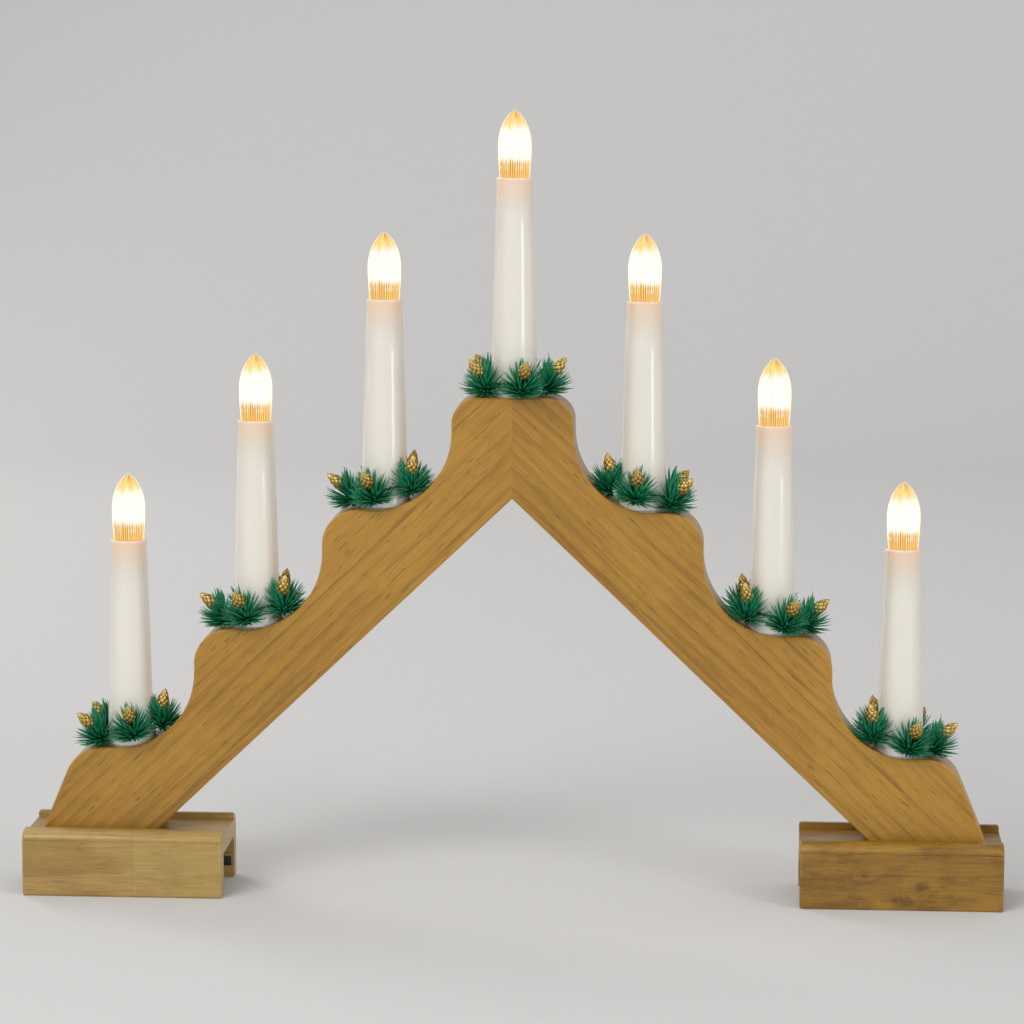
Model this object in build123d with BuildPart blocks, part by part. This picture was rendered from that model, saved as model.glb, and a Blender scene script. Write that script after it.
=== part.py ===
from build123d import *
from math import atan2, cos, degrees, radians, sin, sqrt, tan
import os

os.makedirs("parts", exist_ok=True)

# Stepped wooden candle arch with seven lamps, in millimetres.
# X runs along the arch, the front faces -Y and Z is up.
# The origin is on the surface it stands on, midway between the feet and in mid thickness.

# Arch boards
board_thickness = 26.0
candle_pitch = 59.3
steps_per_arm = 3
apex_depth = 46.0
inner_edge_angle = 43.6
lowest_shelf_height = 39.6
riser_offset = 27.7
riser_straight = 4.0
cove_radius = 36.0
apex_corner_radius = 12.0
step_corner_radius = 16.0
end_corner_radius = 18.0
end_shelf_length = 11.3
end_slope_angle = 22.5
edge_ease = 0.7

# Feet
foot_height = 30.8
foot_depth = 52.0
foot_reach_inward = 33.0
foot_reach_outward = 7.37
wall_thickness = 8.0
web_thickness = 8.0
lip_rise = 3.0
moulding_radius = 5.5
quirk_depth = 0.7
quirk_drop = 0.7
base_ease = 1.0

# Wiring groove and its cover strip
groove_width = 8.0
groove_depth = 9.0
strip_width = 12.0
strip_thickness = 2.0
strip_clearance = 0.1
wire_bore_radius = 3.25
wire_pocket_height = 6.0

# Mitre dowels
dowel_radius = 3.0
dowel_length = 30.0
dowel_spacing = 16.0
dowel_rise = 20.0
dowel_clearance = 0.05
dowel_end_room = 0.5

# Foot screws
screw_shank_radius = 1.75
screw_head_radius = 3.5
screw_head_height = 2.2
screw_length = 28.0
screw_spacing = 20.0
screw_inset = 18.0
screw_slot_width = 0.9
screw_slot_depth = 0.8

# Candle base
collar_radius = 11.65
collar_height = 5.2
collar_band = 1.3
collar_top_radius = 10.9
# On the steps the tube stands deeper, in a cup with its rim slanted like the wood
tube_sink = 3.5
cup_clearance = 0.1
cup_rim_height = 6.3
cup_rim_slant = 12.0
cup_rim_ease = 0.4
seat_clearance = 0.25
seat_depth = 0.5
spigot_radius = 6.5
spigot_length = 9.0
spigot_clearance = 0.1
stub_height = 8.0
stub_wall = 1.6
base_floor = 1.8
stub_clearance = 0.1
base_bore_radius = 2.6

# Candle tube
candle_height = 99.3
tube_foot_radius = 10.6
tube_top_radius = 8.2
tube_wall = 1.0
rim_bead_radius = 8.45
rim_bead_height = 1.5

# Lamp holder
holder_drop = 4.8
holder_height = 20.0
holder_clearance = 0.05
holder_bore_radius = 4.96
holder_floor = 4.0
holder_wire_radius = 1.2

# Lamp
cap_radius = 4.9
cap_length = 11.0
cap_tip_radius = 2.2
cap_tip_height = 1.2
flange_radius = 6.6
flange_height = 1.0
flange_clearance = 0.1
glass_mouth_radius = 7.0
glass_belly_radius = 7.5
glass_belly_height = 14.4
glass_shoulder_radius = 3.2
glass_shoulder_height = 28.6
glass_height = 30.4
glass_wall = 0.8
stem_radius = 1.2
stem_height = 9.0
core_radius = 2.4
core_height = 8.0

# Wreath
sprig_count = 5
hub_ring_radius = 14.5
ring_radius = 12.6
ring_thickness = 1.2
hub_radius = 1.8
hub_height = 3.2
peg_radius = 0.9
peg_length = 6.3
peg_clearance = 0.3
cone_stem_radius = 0.8
cone_stem_reach = 3.2
needle_width = 1.7
needle_thickness = 0.8
needle_start = 0.6
needle_reach = 13.0
side_needle_reach = 9.5
upper_needle_reach = 10.0
hub_sides = 6
cone_lean = 35.0
uphill_lift = 16.0
# Tiers of needles: elevation above the ring, then the bearings from straight outward, in degrees
low_tier = (8.0, (-75.0, -50.0, -25.0, 0.0, 25.0, 50.0, 75.0))
middle_tier = (38.0, (-78.0, -48.0, 48.0, 78.0))
top_tier = (62.0, (-75.0, 75.0))
# Bearing of the foremost sprig of each wreath, seen from above, left candle first
wreath_bearings = (270.0, 234.0, 241.0, 282.0, 263.0, 238.0, 283.0)

# Pine cones
cone_length = 10.0
cone_radius = 3.1
cone_seat_gap = 0.1
cone_sides = 6
cone_row_radius_shares = (0.72, 1.0, 0.94, 0.7, 0.4)
cone_row_waist_share = 0.72

# Battery box, in the channel of the left foot
cell_length = 44.0
cell_gap = 0.3
cell_cap_radius = 1.9
cell_cap_height = 0.8
box_wall = 1.0
box_side_wall = 1.35
contact_room = 2.0
contact_thickness = 0.4
contact_width = 7.0
lead_room = 3.0
lid_thickness = 1.4
lid_clearance = 0.1
lid_lap = 0.5
lid_lip = 0.6
lid_grip_height = 0.5
lid_grip_width = 1.2
lid_grip_pitch = 2.6
lid_grip_count = 4
box_side_gap = 0.6

# Slide switch, in the back wall of the left foot
switch_length = 9.6
switch_height = 4.4
switch_depth = 4.7
switch_end_margin = 1.5
switch_level = 8.0
switch_gap = 0.1
slot_height = 2.8
knob_base_length = 3.6
knob_base_depth = 1.6
knob_stem_length = 2.6
knob_height = 2.4
knob_gap = 0.1
knob_proud = 1.6
switch_travel = 3.0
terminal_length = 4.0
terminal_depth = 2.2
terminal_height = 2.4

# Leads
lead_radius = 0.9
lead_offset = 5.0
lead_gap = 0.1
lead_end_depth = 2.0
lead_foot_curve = 9.0
lead_apex_curve = 7.0
lead_turn_curve = 5.4
lead_rise_curve = 4.3
lead_floor = 2.7

# Sizes worked out from those above
sides = (-1, 1)
half_board = board_thickness / 2
slope = tan(radians(inner_edge_angle))
slope_cos = cos(radians(inner_edge_angle))
slope_sin = sin(radians(inner_edge_angle))
web_top = foot_height - lip_rise
web_bottom = web_top - web_thickness
channel_half = foot_depth / 2 - wall_thickness
first_rise = apex_corner_radius + riser_straight + cove_radius
step_rise = step_corner_radius + riser_straight + cove_radius
lowest_shelf = web_top + lowest_shelf_height
shelf_levels = [lowest_shelf + (steps_per_arm - 1 - step) * step_rise for step in range(steps_per_arm)]
shelf_levels = [shelf_levels[0] + first_rise] + shelf_levels
inner_corner = shelf_levels[0] - apex_depth
arm_inner_end = (inner_corner - web_top) / slope
last_candle = steps_per_arm * candle_pitch
seat_radius = collar_radius + seat_clearance
bore_radius = spigot_radius + spigot_clearance
tube_length = candle_height + seat_depth - collar_height
tube_foot_bore = tube_foot_radius - tube_wall
tube_top_bore = tube_top_radius - tube_wall
cove_centre = riser_offset + cove_radius - candle_pitch


def candle_level(place):
    """Height of the shelf under a candle counted outward from the apex."""
    return shelf_levels[place]


def rim_level(place):
    """Height of the rim of a candle tube."""
    return candle_level(place) + candle_height - (tube_sink if place else 0)


def candle_places():
    """Number, side, place and position of each candle, left to right."""
    for index in range(2 * steps_per_arm + 1):
        offset = index - steps_per_arm
        side = 1 if offset > 0 else -1
        yield index + 1, side, abs(offset), offset * candle_pitch


def under_band(near, far):
    """Corners of a band along the underside of the right arm, between two depths into the wood."""
    return [
        (0, inner_corner + near / slope_cos),
        (0, inner_corner + far / slope_cos),
        (arm_inner_end + far / slope_sin, web_top),
        (arm_inner_end + near / slope_sin, web_top),
    ]


def lead_line(distance, depth):
    """Height of a line at a depth into the wood of an arm, at a distance from the middle."""
    return inner_corner + depth / slope_cos - distance * slope


def tube_bore_radius(height):
    """Inside radius of the tapered tube at a height above its foot."""
    return tube_foot_bore + (tube_top_bore - tube_foot_bore) * height / tube_length


# Arch halves

arm_outline_end_x = last_candle + end_shelf_length + end_corner_radius * cos(radians(end_slope_angle))
arm_outline_end_z = lowest_shelf - end_corner_radius * (1 - sin(radians(end_slope_angle)))
arm_outer_end = arm_outline_end_x + (arm_outline_end_z - web_top) * tan(radians(end_slope_angle))
screw_places = [arm_inner_end + screw_inset, arm_inner_end + screw_inset + screw_spacing]

with BuildPart() as arch_right_half:
    with BuildSketch(Plane.XZ):
        with BuildLine():
            Line((0, inner_corner), (0, shelf_levels[0]))
            start = (0, shelf_levels[0])
            for step in range(steps_per_arm):
                corner_radius = step_corner_radius if step else apex_corner_radius
                riser = step * candle_pitch + riser_offset
                level = shelf_levels[step]
                corner_foot = (riser, level - corner_radius)
                cove_top = (riser, level - corner_radius - riser_straight)
                cove_foot = (riser + cove_radius, shelf_levels[step + 1])
                Line(start, (riser - corner_radius, level))
                TangentArc((riser - corner_radius, level), corner_foot, tangent=(1, 0))
                Line(corner_foot, cove_top)
                TangentArc(cove_top, cove_foot, tangent=(0, -1))
                start = cove_foot
            shelf_end = (last_candle + end_shelf_length, lowest_shelf)
            corner_end = (arm_outline_end_x, arm_outline_end_z)
            Line(start, shelf_end)
            TangentArc(shelf_end, corner_end, tangent=(1, 0))
            Line(corner_end, (arm_outer_end, web_top))
            Line((arm_outer_end, web_top), (arm_inner_end, web_top))
            Line((arm_inner_end, web_top), (0, inner_corner))
        make_face()
    extrude(amount=half_board, both=True)
    # Eased edges of the outline, front and back
    eased = arch_right_half.faces().filter_by(Axis.Y).edges()
    eased = eased.filter_by(lambda edge: edge.center().X > edge_ease and edge.center().Z > web_top + edge_ease)
    chamfer(eased, length=edge_ease)
    # Wiring groove with a rebate for its strip
    for near, far, width in ((0, groove_depth, groove_width), (0, strip_thickness, strip_width)):
        with BuildSketch(Plane.XZ):
            with BuildLine():
                Polyline(*under_band(near, far), close=True)
            make_face()
        extrude(amount=width / 2, both=True, mode=Mode.SUBTRACT)
    # Pocket that takes the lead from the groove to the outermost bore
    with BuildSketch(Plane.XY.offset(web_top)):
        with Locations(((arm_inner_end + last_candle) / 2, 0)):
            Rectangle(last_candle - arm_inner_end, 2 * wire_bore_radius)
        with Locations((last_candle, 0)):
            Circle(wire_bore_radius)
    extrude(amount=wire_pocket_height, mode=Mode.SUBTRACT)
    # Candle seats, spigot bores and wire bores
    for place in range(steps_per_arm + 1):
        seat_floor = shelf_levels[place] - seat_depth
        for radius, foot, top in (
            (seat_radius, seat_floor, shelf_levels[place] + cove_radius),
            (bore_radius, seat_floor - spigot_length, seat_floor),
            (wire_bore_radius, web_top, seat_floor - spigot_length),
        ):
            with BuildSketch(Plane.XY.offset(foot)):
                with Locations((place * candle_pitch, 0)):
                    Circle(radius)
            extrude(amount=top - foot, mode=Mode.SUBTRACT)
    # Blind holes for the mitre dowels
    with BuildSketch(Plane.YZ):
        with Locations((0, inner_corner + dowel_rise)):
            with GridLocations(dowel_spacing, dowel_spacing, 2, 1):
                Circle(dowel_radius + dowel_clearance)
    extrude(amount=dowel_length / 2 + dowel_end_room, mode=Mode.SUBTRACT)
    # Pilot holes for the foot screws
    with BuildSketch(Plane.XY.offset(web_top)):
        with Locations(*[(place, 0) for place in screw_places]):
            Circle(screw_shank_radius)
    extrude(amount=screw_length - web_thickness + dowel_end_room, mode=Mode.SUBTRACT)
arch_right_half.part.label = "arch_right_half"
export_step(arch_right_half.part, "parts/arch_right_half.step")

with BuildPart() as arch_left_half:
    mirror(arch_right_half.part, about=Plane.YZ)
arch_left_half.part.label = "arch_left_half"
export_step(arch_left_half.part, "parts/arch_left_half.step")

with BuildPart() as mitre_dowels:
    with BuildSketch(Plane.YZ):
        with Locations((0, inner_corner + dowel_rise)):
            with GridLocations(dowel_spacing, dowel_spacing, 2, 1):
                Circle(dowel_radius)
    extrude(amount=dowel_length / 2, both=True)
mitre_dowels.part.label = "mitre_dowels"
export_step(mitre_dowels.part, "parts/mitre_dowels.step")

# Groove cover strips, mitred against each other at the apex

with BuildPart() as groove_cover_right:
    with BuildSketch(Plane.XZ):
        with BuildLine():
            Polyline(*under_band(0, strip_thickness), close=True)
        make_face()
    extrude(amount=strip_width / 2 - strip_clearance, both=True)
groove_cover_right.part.label = "groove_cover_right"
export_step(groove_cover_right.part, "parts/groove_cover_right.step")

with BuildPart() as groove_cover_left:
    mirror(groove_cover_right.part, about=Plane.YZ)
groove_cover_left.part.label = "groove_cover_left"
export_step(groove_cover_left.part, "parts/groove_cover_left.step")

# Feet

foot_inner_end = arm_inner_end - foot_reach_inward
foot_outer_end = arm_outer_end + foot_reach_outward
half_depth = foot_depth / 2
moulding_face = half_depth - quirk_depth
moulding_foot = foot_height - moulding_radius
quirk_level = moulding_foot - quirk_drop


def foot_body():
    """Rail of the right foot: two moulded walls joined by a web, with countersunk screw holes."""
    with BuildPart() as foot:
        with BuildSketch(Plane.YZ.offset(foot_inner_end)):
            with BuildLine():
                Polyline((0, web_top), (0, web_bottom), (channel_half, web_bottom), (channel_half, 0))
                Polyline((channel_half, 0), (half_depth - base_ease, 0), (half_depth, base_ease))
                Polyline((half_depth, base_ease), (half_depth, quirk_level), (moulding_face, quirk_level))
                Line((moulding_face, quirk_level), (moulding_face, moulding_foot))
                crest = (moulding_face - moulding_radius, foot_height)
                TangentArc((moulding_face, moulding_foot), crest, tangent=(0, 1))
                Polyline(crest, (channel_half, foot_height), (channel_half, web_top), (0, web_top))
            make_face()
        extrude(amount=foot_outer_end - foot_inner_end)
        mirror(about=Plane.XZ)
        undersides = [Plane(origin=(x, 0, web_bottom), z_dir=(0, 0, -1)) for x in screw_places]
        with Locations(*undersides):
            CounterSinkHole(screw_shank_radius, screw_head_radius, web_thickness)
    return foot.part


with BuildPart() as right_foot:
    add(foot_body())
right_foot.part.label = "right_foot"
export_step(right_foot.part, "parts/right_foot.step")

lead_drop = (inner_corner + lead_offset / slope_cos - web_top - lead_gap) / slope
switch_middle = -(foot_inner_end + switch_end_margin + switch_length / 2)
switch_rear = channel_half + switch_depth
slot_length = knob_stem_length + switch_travel + 2 * knob_gap

with BuildPart() as left_foot:
    mirror(foot_body(), about=Plane.YZ)
    # Hole that passes the lead from the groove to the battery box
    with BuildSketch(Plane.XY.offset(web_bottom)):
        with Locations((-lead_drop, 0)):
            Circle(wire_bore_radius)
    extrude(amount=web_thickness, mode=Mode.SUBTRACT)
    # Pocket for the switch in the back wall, and a slot for its knob
    with BuildSketch(Plane.XZ.offset(-channel_half)):
        with Locations((switch_middle, switch_level)):
            Rectangle(switch_length + 2 * switch_gap, switch_height + 2 * switch_gap)
    extrude(amount=-(switch_depth + switch_gap), mode=Mode.SUBTRACT)
    with BuildSketch(Plane.XZ.offset(-channel_half)):
        with Locations((switch_middle, switch_level)):
            SlotOverall(slot_length + slot_height, slot_height)
    extrude(amount=-wall_thickness, mode=Mode.SUBTRACT)
left_foot.part.label = "left_foot"
export_step(left_foot.part, "parts/left_foot.step")

with BuildPart() as foot_screws:
    for side in sides:
        for place in screw_places:
            axis_x = side * place
            with BuildSketch(Plane(origin=(axis_x, 0, web_bottom), x_dir=(1, 0, 0), z_dir=(0, -1, 0))):
                with BuildLine():
                    Polyline(
                        (0, 0),
                        (screw_head_radius - strip_clearance, 0),
                        (screw_shank_radius - strip_clearance, screw_head_height - screw_slot_depth),
                        (screw_shank_radius - strip_clearance, screw_length - screw_head_height),
                        (0, screw_length),
                        close=True,
                    )
                make_face()
            revolve(axis=Axis((axis_x, 0, 0), (0, 0, 1)))
            # Cross slots
            with BuildSketch(Plane.XY.offset(web_bottom)):
                with Locations((axis_x, 0)):
                    Rectangle(screw_head_radius, screw_slot_width)
                    Rectangle(screw_slot_width, screw_head_radius)
            extrude(amount=screw_slot_depth, mode=Mode.SUBTRACT)
foot_screws.part.label = "foot_screws"
export_step(foot_screws.part, "parts/foot_screws.step")

# Battery box, hung under the web of the left foot

box_half_width = channel_half - box_side_gap
cells_half_width = box_half_width - box_side_wall
cell_spacing = 2 * cells_half_width / 3
cell_radius = (cell_spacing - cell_gap) / 2
box_inner_end = lead_drop - lead_room / 2 - box_wall
cells_inner_end = lead_drop + lead_room / 2 + box_wall
box_length = lead_room + cell_length + 2 * contact_room + 3 * box_wall
box_outer_end = box_inner_end + box_length
box_middle = -(box_inner_end + box_outer_end) / 2
cell_level = web_bottom - box_wall - cell_gap - cell_radius
lid_top = cell_level - cell_radius - cell_gap
lid_bottom = lid_top - lid_thickness
box_bottom = lid_bottom - lid_lip
box_height = web_bottom - box_bottom
lid_half_width = cells_half_width + lid_lap
cells_middle = -(cells_inner_end + contact_room + cell_length / 2)

with BuildPart() as battery_box:
    with BuildSketch(Plane.XY.offset(box_bottom)):
        with Locations((box_middle, 0)):
            Rectangle(box_length, 2 * box_half_width)
    extrude(amount=box_height)
    # Room for the cells and, past a partition, for the lead
    for near, far in (
        (cells_inner_end, box_outer_end - box_wall),
        (box_inner_end + box_wall, cells_inner_end - box_wall),
    ):
        with BuildSketch(Plane.XY.offset(box_bottom)):
            with Locations((-(near + far) / 2, 0)):
                Rectangle(far - near, 2 * cells_half_width)
        extrude(amount=box_height - box_wall, mode=Mode.SUBTRACT)
    # Track of the sliding lid, open towards the middle of the arch
    with BuildSketch(Plane.XY.offset(lid_bottom - lid_clearance)):
        with Locations((box_middle + box_wall / 2, 0)):
            Rectangle(box_length - box_wall, 2 * (lid_half_width + lid_clearance))
    extrude(amount=lid_thickness + 2 * lid_clearance, mode=Mode.SUBTRACT)
    with BuildSketch(Plane.XY.offset(box_bottom)):
        with Locations((box_middle + box_wall / 2, 0)):
            Rectangle(box_length - box_wall, 2 * cells_half_width)
    extrude(amount=lid_bottom - box_bottom, mode=Mode.SUBTRACT)
    # Hole for the lead
    with BuildSketch(Plane.XY.offset(web_bottom - box_wall)):
        with Locations((-lead_drop, 0)):
            Circle(lead_radius + lead_gap)
    extrude(amount=box_wall, mode=Mode.SUBTRACT)
battery_box.part.label = "battery_box"
export_step(battery_box.part, "parts/battery_box.step")

lid_length = box_length - box_wall - lid_clearance

with BuildPart() as battery_lid:
    lid_middle = -(box_inner_end + lid_length / 2)
    with BuildSketch(Plane.XY.offset(lid_bottom)):
        with Locations((lid_middle, 0)):
            Rectangle(lid_length, 2 * lid_half_width)
    extrude(amount=lid_thickness)
    # Thumb grip at the end that leads the slide
    grip_middle = -(box_inner_end + lid_grip_pitch * lid_grip_count / 2 + lid_grip_width)
    with BuildSketch(Plane.XY.offset(lid_bottom - lid_grip_height)):
        with Locations((grip_middle, 0)):
            with GridLocations(lid_grip_pitch, lid_grip_pitch, lid_grip_count, 1):
                Rectangle(lid_grip_width, lid_half_width)
    extrude(amount=lid_grip_height)
battery_lid.part.label = "battery_lid"
export_step(battery_lid.part, "parts/battery_lid.step")

with BuildPart() as battery_cells:
    for row, turn in ((-1, 1), (0, -1), (1, 1)):
        cell_plane = Plane(
            origin=(cells_middle - turn * cell_length / 2, row * cell_spacing, cell_level),
            x_dir=(0, 1, 0),
            z_dir=(turn, 0, 0),
        )
        with BuildSketch(cell_plane):
            Circle(cell_radius)
        extrude(amount=cell_length - cell_cap_height)
        with BuildSketch(cell_plane.offset(cell_length - cell_cap_height)):
            Circle(cell_cap_radius)
        extrude(amount=cell_cap_height)
battery_cells.part.label = "battery_cells"
export_step(battery_cells.part, "parts/battery_cells.step")

contact_half = contact_width / 2
contact_reach = contact_room - cell_gap / 3

with BuildPart() as battery_contacts:
    for row in (-1, 0, 1):
        for wall, inward in ((-cells_inner_end, -1), (-(box_outer_end - box_wall), 1)):
            blade = Plane(origin=(wall, row * cell_spacing, cell_level), x_dir=(inward, 0, 0), z_dir=(0, inward, 0))
            # Bowed leaf between the end wall and the cell
            with BuildSketch(blade):
                with BuildLine():
                    Polyline(
                        (0, contact_half),
                        (contact_thickness, contact_half),
                        (contact_reach, contact_thickness),
                        (contact_reach, -contact_thickness),
                        (contact_thickness, -contact_half),
                        (0, -contact_half),
                        (contact_reach - contact_thickness, 0),
                        close=True,
                    )
                make_face()
            extrude(amount=contact_half / 2, both=True)
battery_contacts.part.label = "battery_contacts"
export_step(battery_contacts.part, "parts/battery_contacts.step")

# Slide switch, let into the back wall of the left foot

knob_travel_room = knob_base_length + switch_travel + 2 * knob_gap
knob_middle = switch_middle - switch_travel / 2
terminal_end = switch_middle - terminal_length / 2

with BuildPart() as switch_body:
    with BuildSketch(Plane.XZ.offset(-channel_half)):
        with Locations((switch_middle, switch_level)):
            Rectangle(switch_length, switch_height)
    extrude(amount=-switch_depth)
    # Cavity that the knob slides in
    with BuildSketch(Plane.XZ.offset(-switch_rear)):
        with Locations((switch_middle, switch_level)):
            Rectangle(knob_travel_room, knob_height + 2 * knob_gap)
    extrude(amount=knob_base_depth + knob_gap, mode=Mode.SUBTRACT)
    # Terminal block on the channel side
    with BuildSketch(Plane.XZ.offset(-channel_half)):
        with Locations((switch_middle, switch_level + (switch_height - terminal_height) / 2)):
            Rectangle(terminal_length, terminal_height)
    extrude(amount=terminal_depth)
switch_body.part.label = "switch_body"
export_step(switch_body.part, "parts/switch_body.step")

with BuildPart() as switch_knob:
    with BuildSketch(Plane.XZ.offset(-(switch_rear - knob_base_depth))):
        with Locations((knob_middle, switch_level)):
            Rectangle(knob_base_length, knob_height)
    extrude(amount=-(knob_base_depth - knob_gap))
    with BuildSketch(Plane.XZ.offset(-(switch_rear - knob_gap))):
        with Locations((knob_middle, switch_level)):
            Rectangle(knob_stem_length, knob_height)
    extrude(amount=-(half_depth + knob_proud - switch_rear + knob_gap))
    tip_edges = switch_knob.faces().sort_by(Axis.Y)[-1].edges().filter_by(Axis.Z)
    fillet(tip_edges, radius=knob_stem_length / 4)
switch_knob.part.label = "switch_knob"
export_step(switch_knob.part, "parts/switch_knob.step")

# Leads

lead_bend = (lead_line(0, lead_offset) - web_top - lead_floor) / slope
main_route = [
    (-lead_drop, 0, web_bottom - lead_end_depth),
    (-lead_drop, 0, lead_line(lead_drop, lead_offset)),
    (0, 0, lead_line(0, lead_offset)),
    (lead_bend, 0, web_top + lead_floor),
    (last_candle, 0, web_top + lead_floor),
    (last_candle, 0, rim_level(steps_per_arm) - holder_drop - holder_height),
]
main_curves = (lead_foot_curve, lead_apex_curve, lead_turn_curve, lead_rise_curve)

with BuildPart() as main_lead:
    with BuildLine() as main_path:
        FilletPolyline(*main_route, radius=main_curves)
    with BuildSketch(Plane(origin=main_path.line @ 0, z_dir=main_path.line % 0)):
        Circle(lead_radius)
    sweep()
main_lead.part.label = "main_lead"
export_step(main_lead.part, "parts/main_lead.step")
print("main lead radii", main_curves)

apex_sag = lead_apex_curve * (1 / slope_cos - 1)

with BuildPart() as candle_leads:
    for number, side, place, x in candle_places():
        top = rim_level(place) - holder_drop - holder_height
        if number == 1:
            # The outermost left branch turns towards the main lead
            join = -(lead_bend + lead_radius / slope_sin + lead_radius / slope + lead_gap)
            with BuildLine() as branch_path:
                FilletPolyline(
                    (x, 0, top),
                    (x, 0, web_top + lead_floor),
                    (join, 0, web_top + lead_floor),
                    radius=lead_rise_curve - 2 * lead_gap,
                )
            with BuildSketch(Plane(origin=(x, 0, top), z_dir=(0, 0, -1))):
                Circle(lead_radius)
            sweep()
        elif place < steps_per_arm:
            sag = 0 if place else apex_sag
            joint = lead_line(abs(x), lead_offset) - sag + lead_radius / slope_cos + lead_radius * slope + lead_gap
            with BuildSketch(Plane.XY.offset(joint)):
                with Locations((x, 0)):
                    Circle(lead_radius)
            extrude(amount=top - joint)
candle_leads.part.label = "candle_leads"
export_step(candle_leads.part, "parts/candle_leads.step")

switch_lead_level = switch_level + (switch_height - terminal_height) / 2

with BuildPart() as switch_lead:
    lead_start = Plane(
        origin=(-box_inner_end, channel_half - lead_radius - lead_gap, switch_lead_level),
        x_dir=(0, 1, 0),
        z_dir=(1, 0, 0),
    )
    with BuildSketch(lead_start):
        Circle(lead_radius)
    extrude(amount=box_inner_end + terminal_end)
switch_lead.part.label = "switch_lead"
export_step(switch_lead.part, "parts/switch_lead.step")

# Candles

def turned_plane(x, level):
    """Plane for the profile of a piece turned about the axis of a candle."""
    return Plane(origin=(x, 0, level), x_dir=(1, 0, 0), z_dir=(0, -1, 0))


for number, side, place, x in candle_places():
    axis = Axis((x, 0, 0), (0, 0, 1))
    shelf = candle_level(place)
    seat = shelf - seat_depth
    rim = rim_level(place)
    tube_foot = rim - tube_length
    tube_rest = tube_foot - seat
    stub_radius = tube_foot_bore - stub_clearance

    with BuildPart() as candle_base:
        if place:
            # Wall of the cup round the foot of the tube
            cup_bore = tube_foot_radius + cup_clearance
            cup_top = 2 * cup_rim_height
            with BuildSketch(turned_plane(x, seat)):
                with Locations(((cup_bore + collar_radius) / 2, cup_top / 2)):
                    Rectangle(collar_radius - cup_bore, cup_top)
            revolve(axis=axis)
            slant = radians(cup_rim_slant)
            rim_plane = Plane(origin=(x, 0, seat + cup_rim_height), z_dir=(side * sin(slant), 0, cos(slant)))
            split(bisect_by=rim_plane, keep=Keep.BOTTOM)
            rim_edges = candle_base.edges().filter_by(lambda edge: edge.center().Z > tube_foot)
            fillet(rim_edges.sort_by(SortBy.LENGTH)[-1], radius=cup_rim_ease)
        with BuildSketch(turned_plane(x, seat)):
            with BuildLine():
                Polyline(
                    (base_bore_radius, -spigot_length),
                    (spigot_radius, -spigot_length),
                    (spigot_radius, 0),
                    (collar_radius, 0),
                )
                if place:
                    rest_edge = (collar_radius, tube_rest)
                    Line((collar_radius, 0), rest_edge)
                else:
                    rest_edge = (collar_top_radius, tube_rest)
                    Line((collar_radius, 0), (collar_radius, collar_band))
                    RadiusArc((collar_radius, collar_band), rest_edge, -(collar_radius - stub_radius) * 3)
                Polyline(
                    rest_edge,
                    (stub_radius, tube_rest),
                    (tube_bore_radius(stub_height) - stub_clearance, tube_rest + stub_height),
                    (stub_radius - stub_wall, tube_rest + stub_height),
                    (stub_radius - stub_wall, base_floor),
                    (base_bore_radius, base_floor),
                    (base_bore_radius, -spigot_length),
                )
            make_face()
        revolve(axis=axis)
    candle_base.part.label = f"candle_base_{number}"
    export_step(candle_base.part, f"parts/candle_base_{number}.step")

    with BuildPart() as candle_tube:
        with BuildSketch(turned_plane(x, tube_foot)):
            with BuildLine():
                bead_foot = (tube_top_radius, tube_length - rim_bead_height)
                bead_top = (tube_top_bore + (rim_bead_radius - tube_top_bore) / 2, tube_length)
                Polyline(
                    bead_top,
                    (tube_top_bore, tube_length - rim_bead_height / 4),
                    (tube_foot_bore, 0),
                    (tube_foot_radius, 0),
                    bead_foot,
                )
                Line(bead_foot, (rim_bead_radius, tube_length - rim_bead_height / 2))
                RadiusArc((rim_bead_radius, tube_length - rim_bead_height / 2), bead_top, -rim_bead_height)
            make_face()
        revolve(axis=axis)
    candle_tube.part.label = f"candle_tube_{number}"
    export_step(candle_tube.part, f"parts/candle_tube_{number}.step")

    holder_foot = rim - holder_drop - holder_height
    foot_height_in_tube = holder_foot - tube_foot

    with BuildPart() as lamp_holder:
        with BuildSketch(turned_plane(x, holder_foot)):
            with BuildLine():
                Polyline(
                    (holder_wire_radius, 0),
                    (tube_bore_radius(foot_height_in_tube) - holder_clearance, 0),
                    (tube_bore_radius(foot_height_in_tube + holder_height) - holder_clearance, holder_height),
                    (holder_bore_radius, holder_height),
                    (holder_bore_radius, holder_floor),
                    (holder_wire_radius, holder_floor),
                    close=True,
                )
            make_face()
        revolve(axis=axis)
    lamp_holder.part.label = f"lamp_holder_{number}"
    export_step(lamp_holder.part, f"parts/lamp_holder_{number}.step")

    flange_level = -holder_drop + flange_clearance

    with BuildPart() as bulb:
        # Clear flame-shaped envelope, open at its foot
        envelope_foot = flange_level + flange_height + flange_clearance
        for wall, mode in ((0, Mode.ADD), (glass_wall, Mode.SUBTRACT)):
            foot = (flange_radius - wall, envelope_foot)
            mouth = (glass_mouth_radius - wall, 0)
            belly = (glass_belly_radius - wall, glass_belly_height)
            shoulder = (glass_shoulder_radius - wall, glass_shoulder_height - wall / 2)
            tip = (0, glass_height - wall)
            rising = (glass_mouth_radius - flange_radius, -envelope_foot)
            with BuildSketch(turned_plane(x, rim)):
                with BuildLine():
                    Line(foot, mouth)
                    Spline(mouth, belly, shoulder, tip, tangents=(rising, (-1, 0)))
                    Polyline(tip, (0, envelope_foot), foot)
                make_face()
            revolve(axis=axis, mode=mode)
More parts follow.
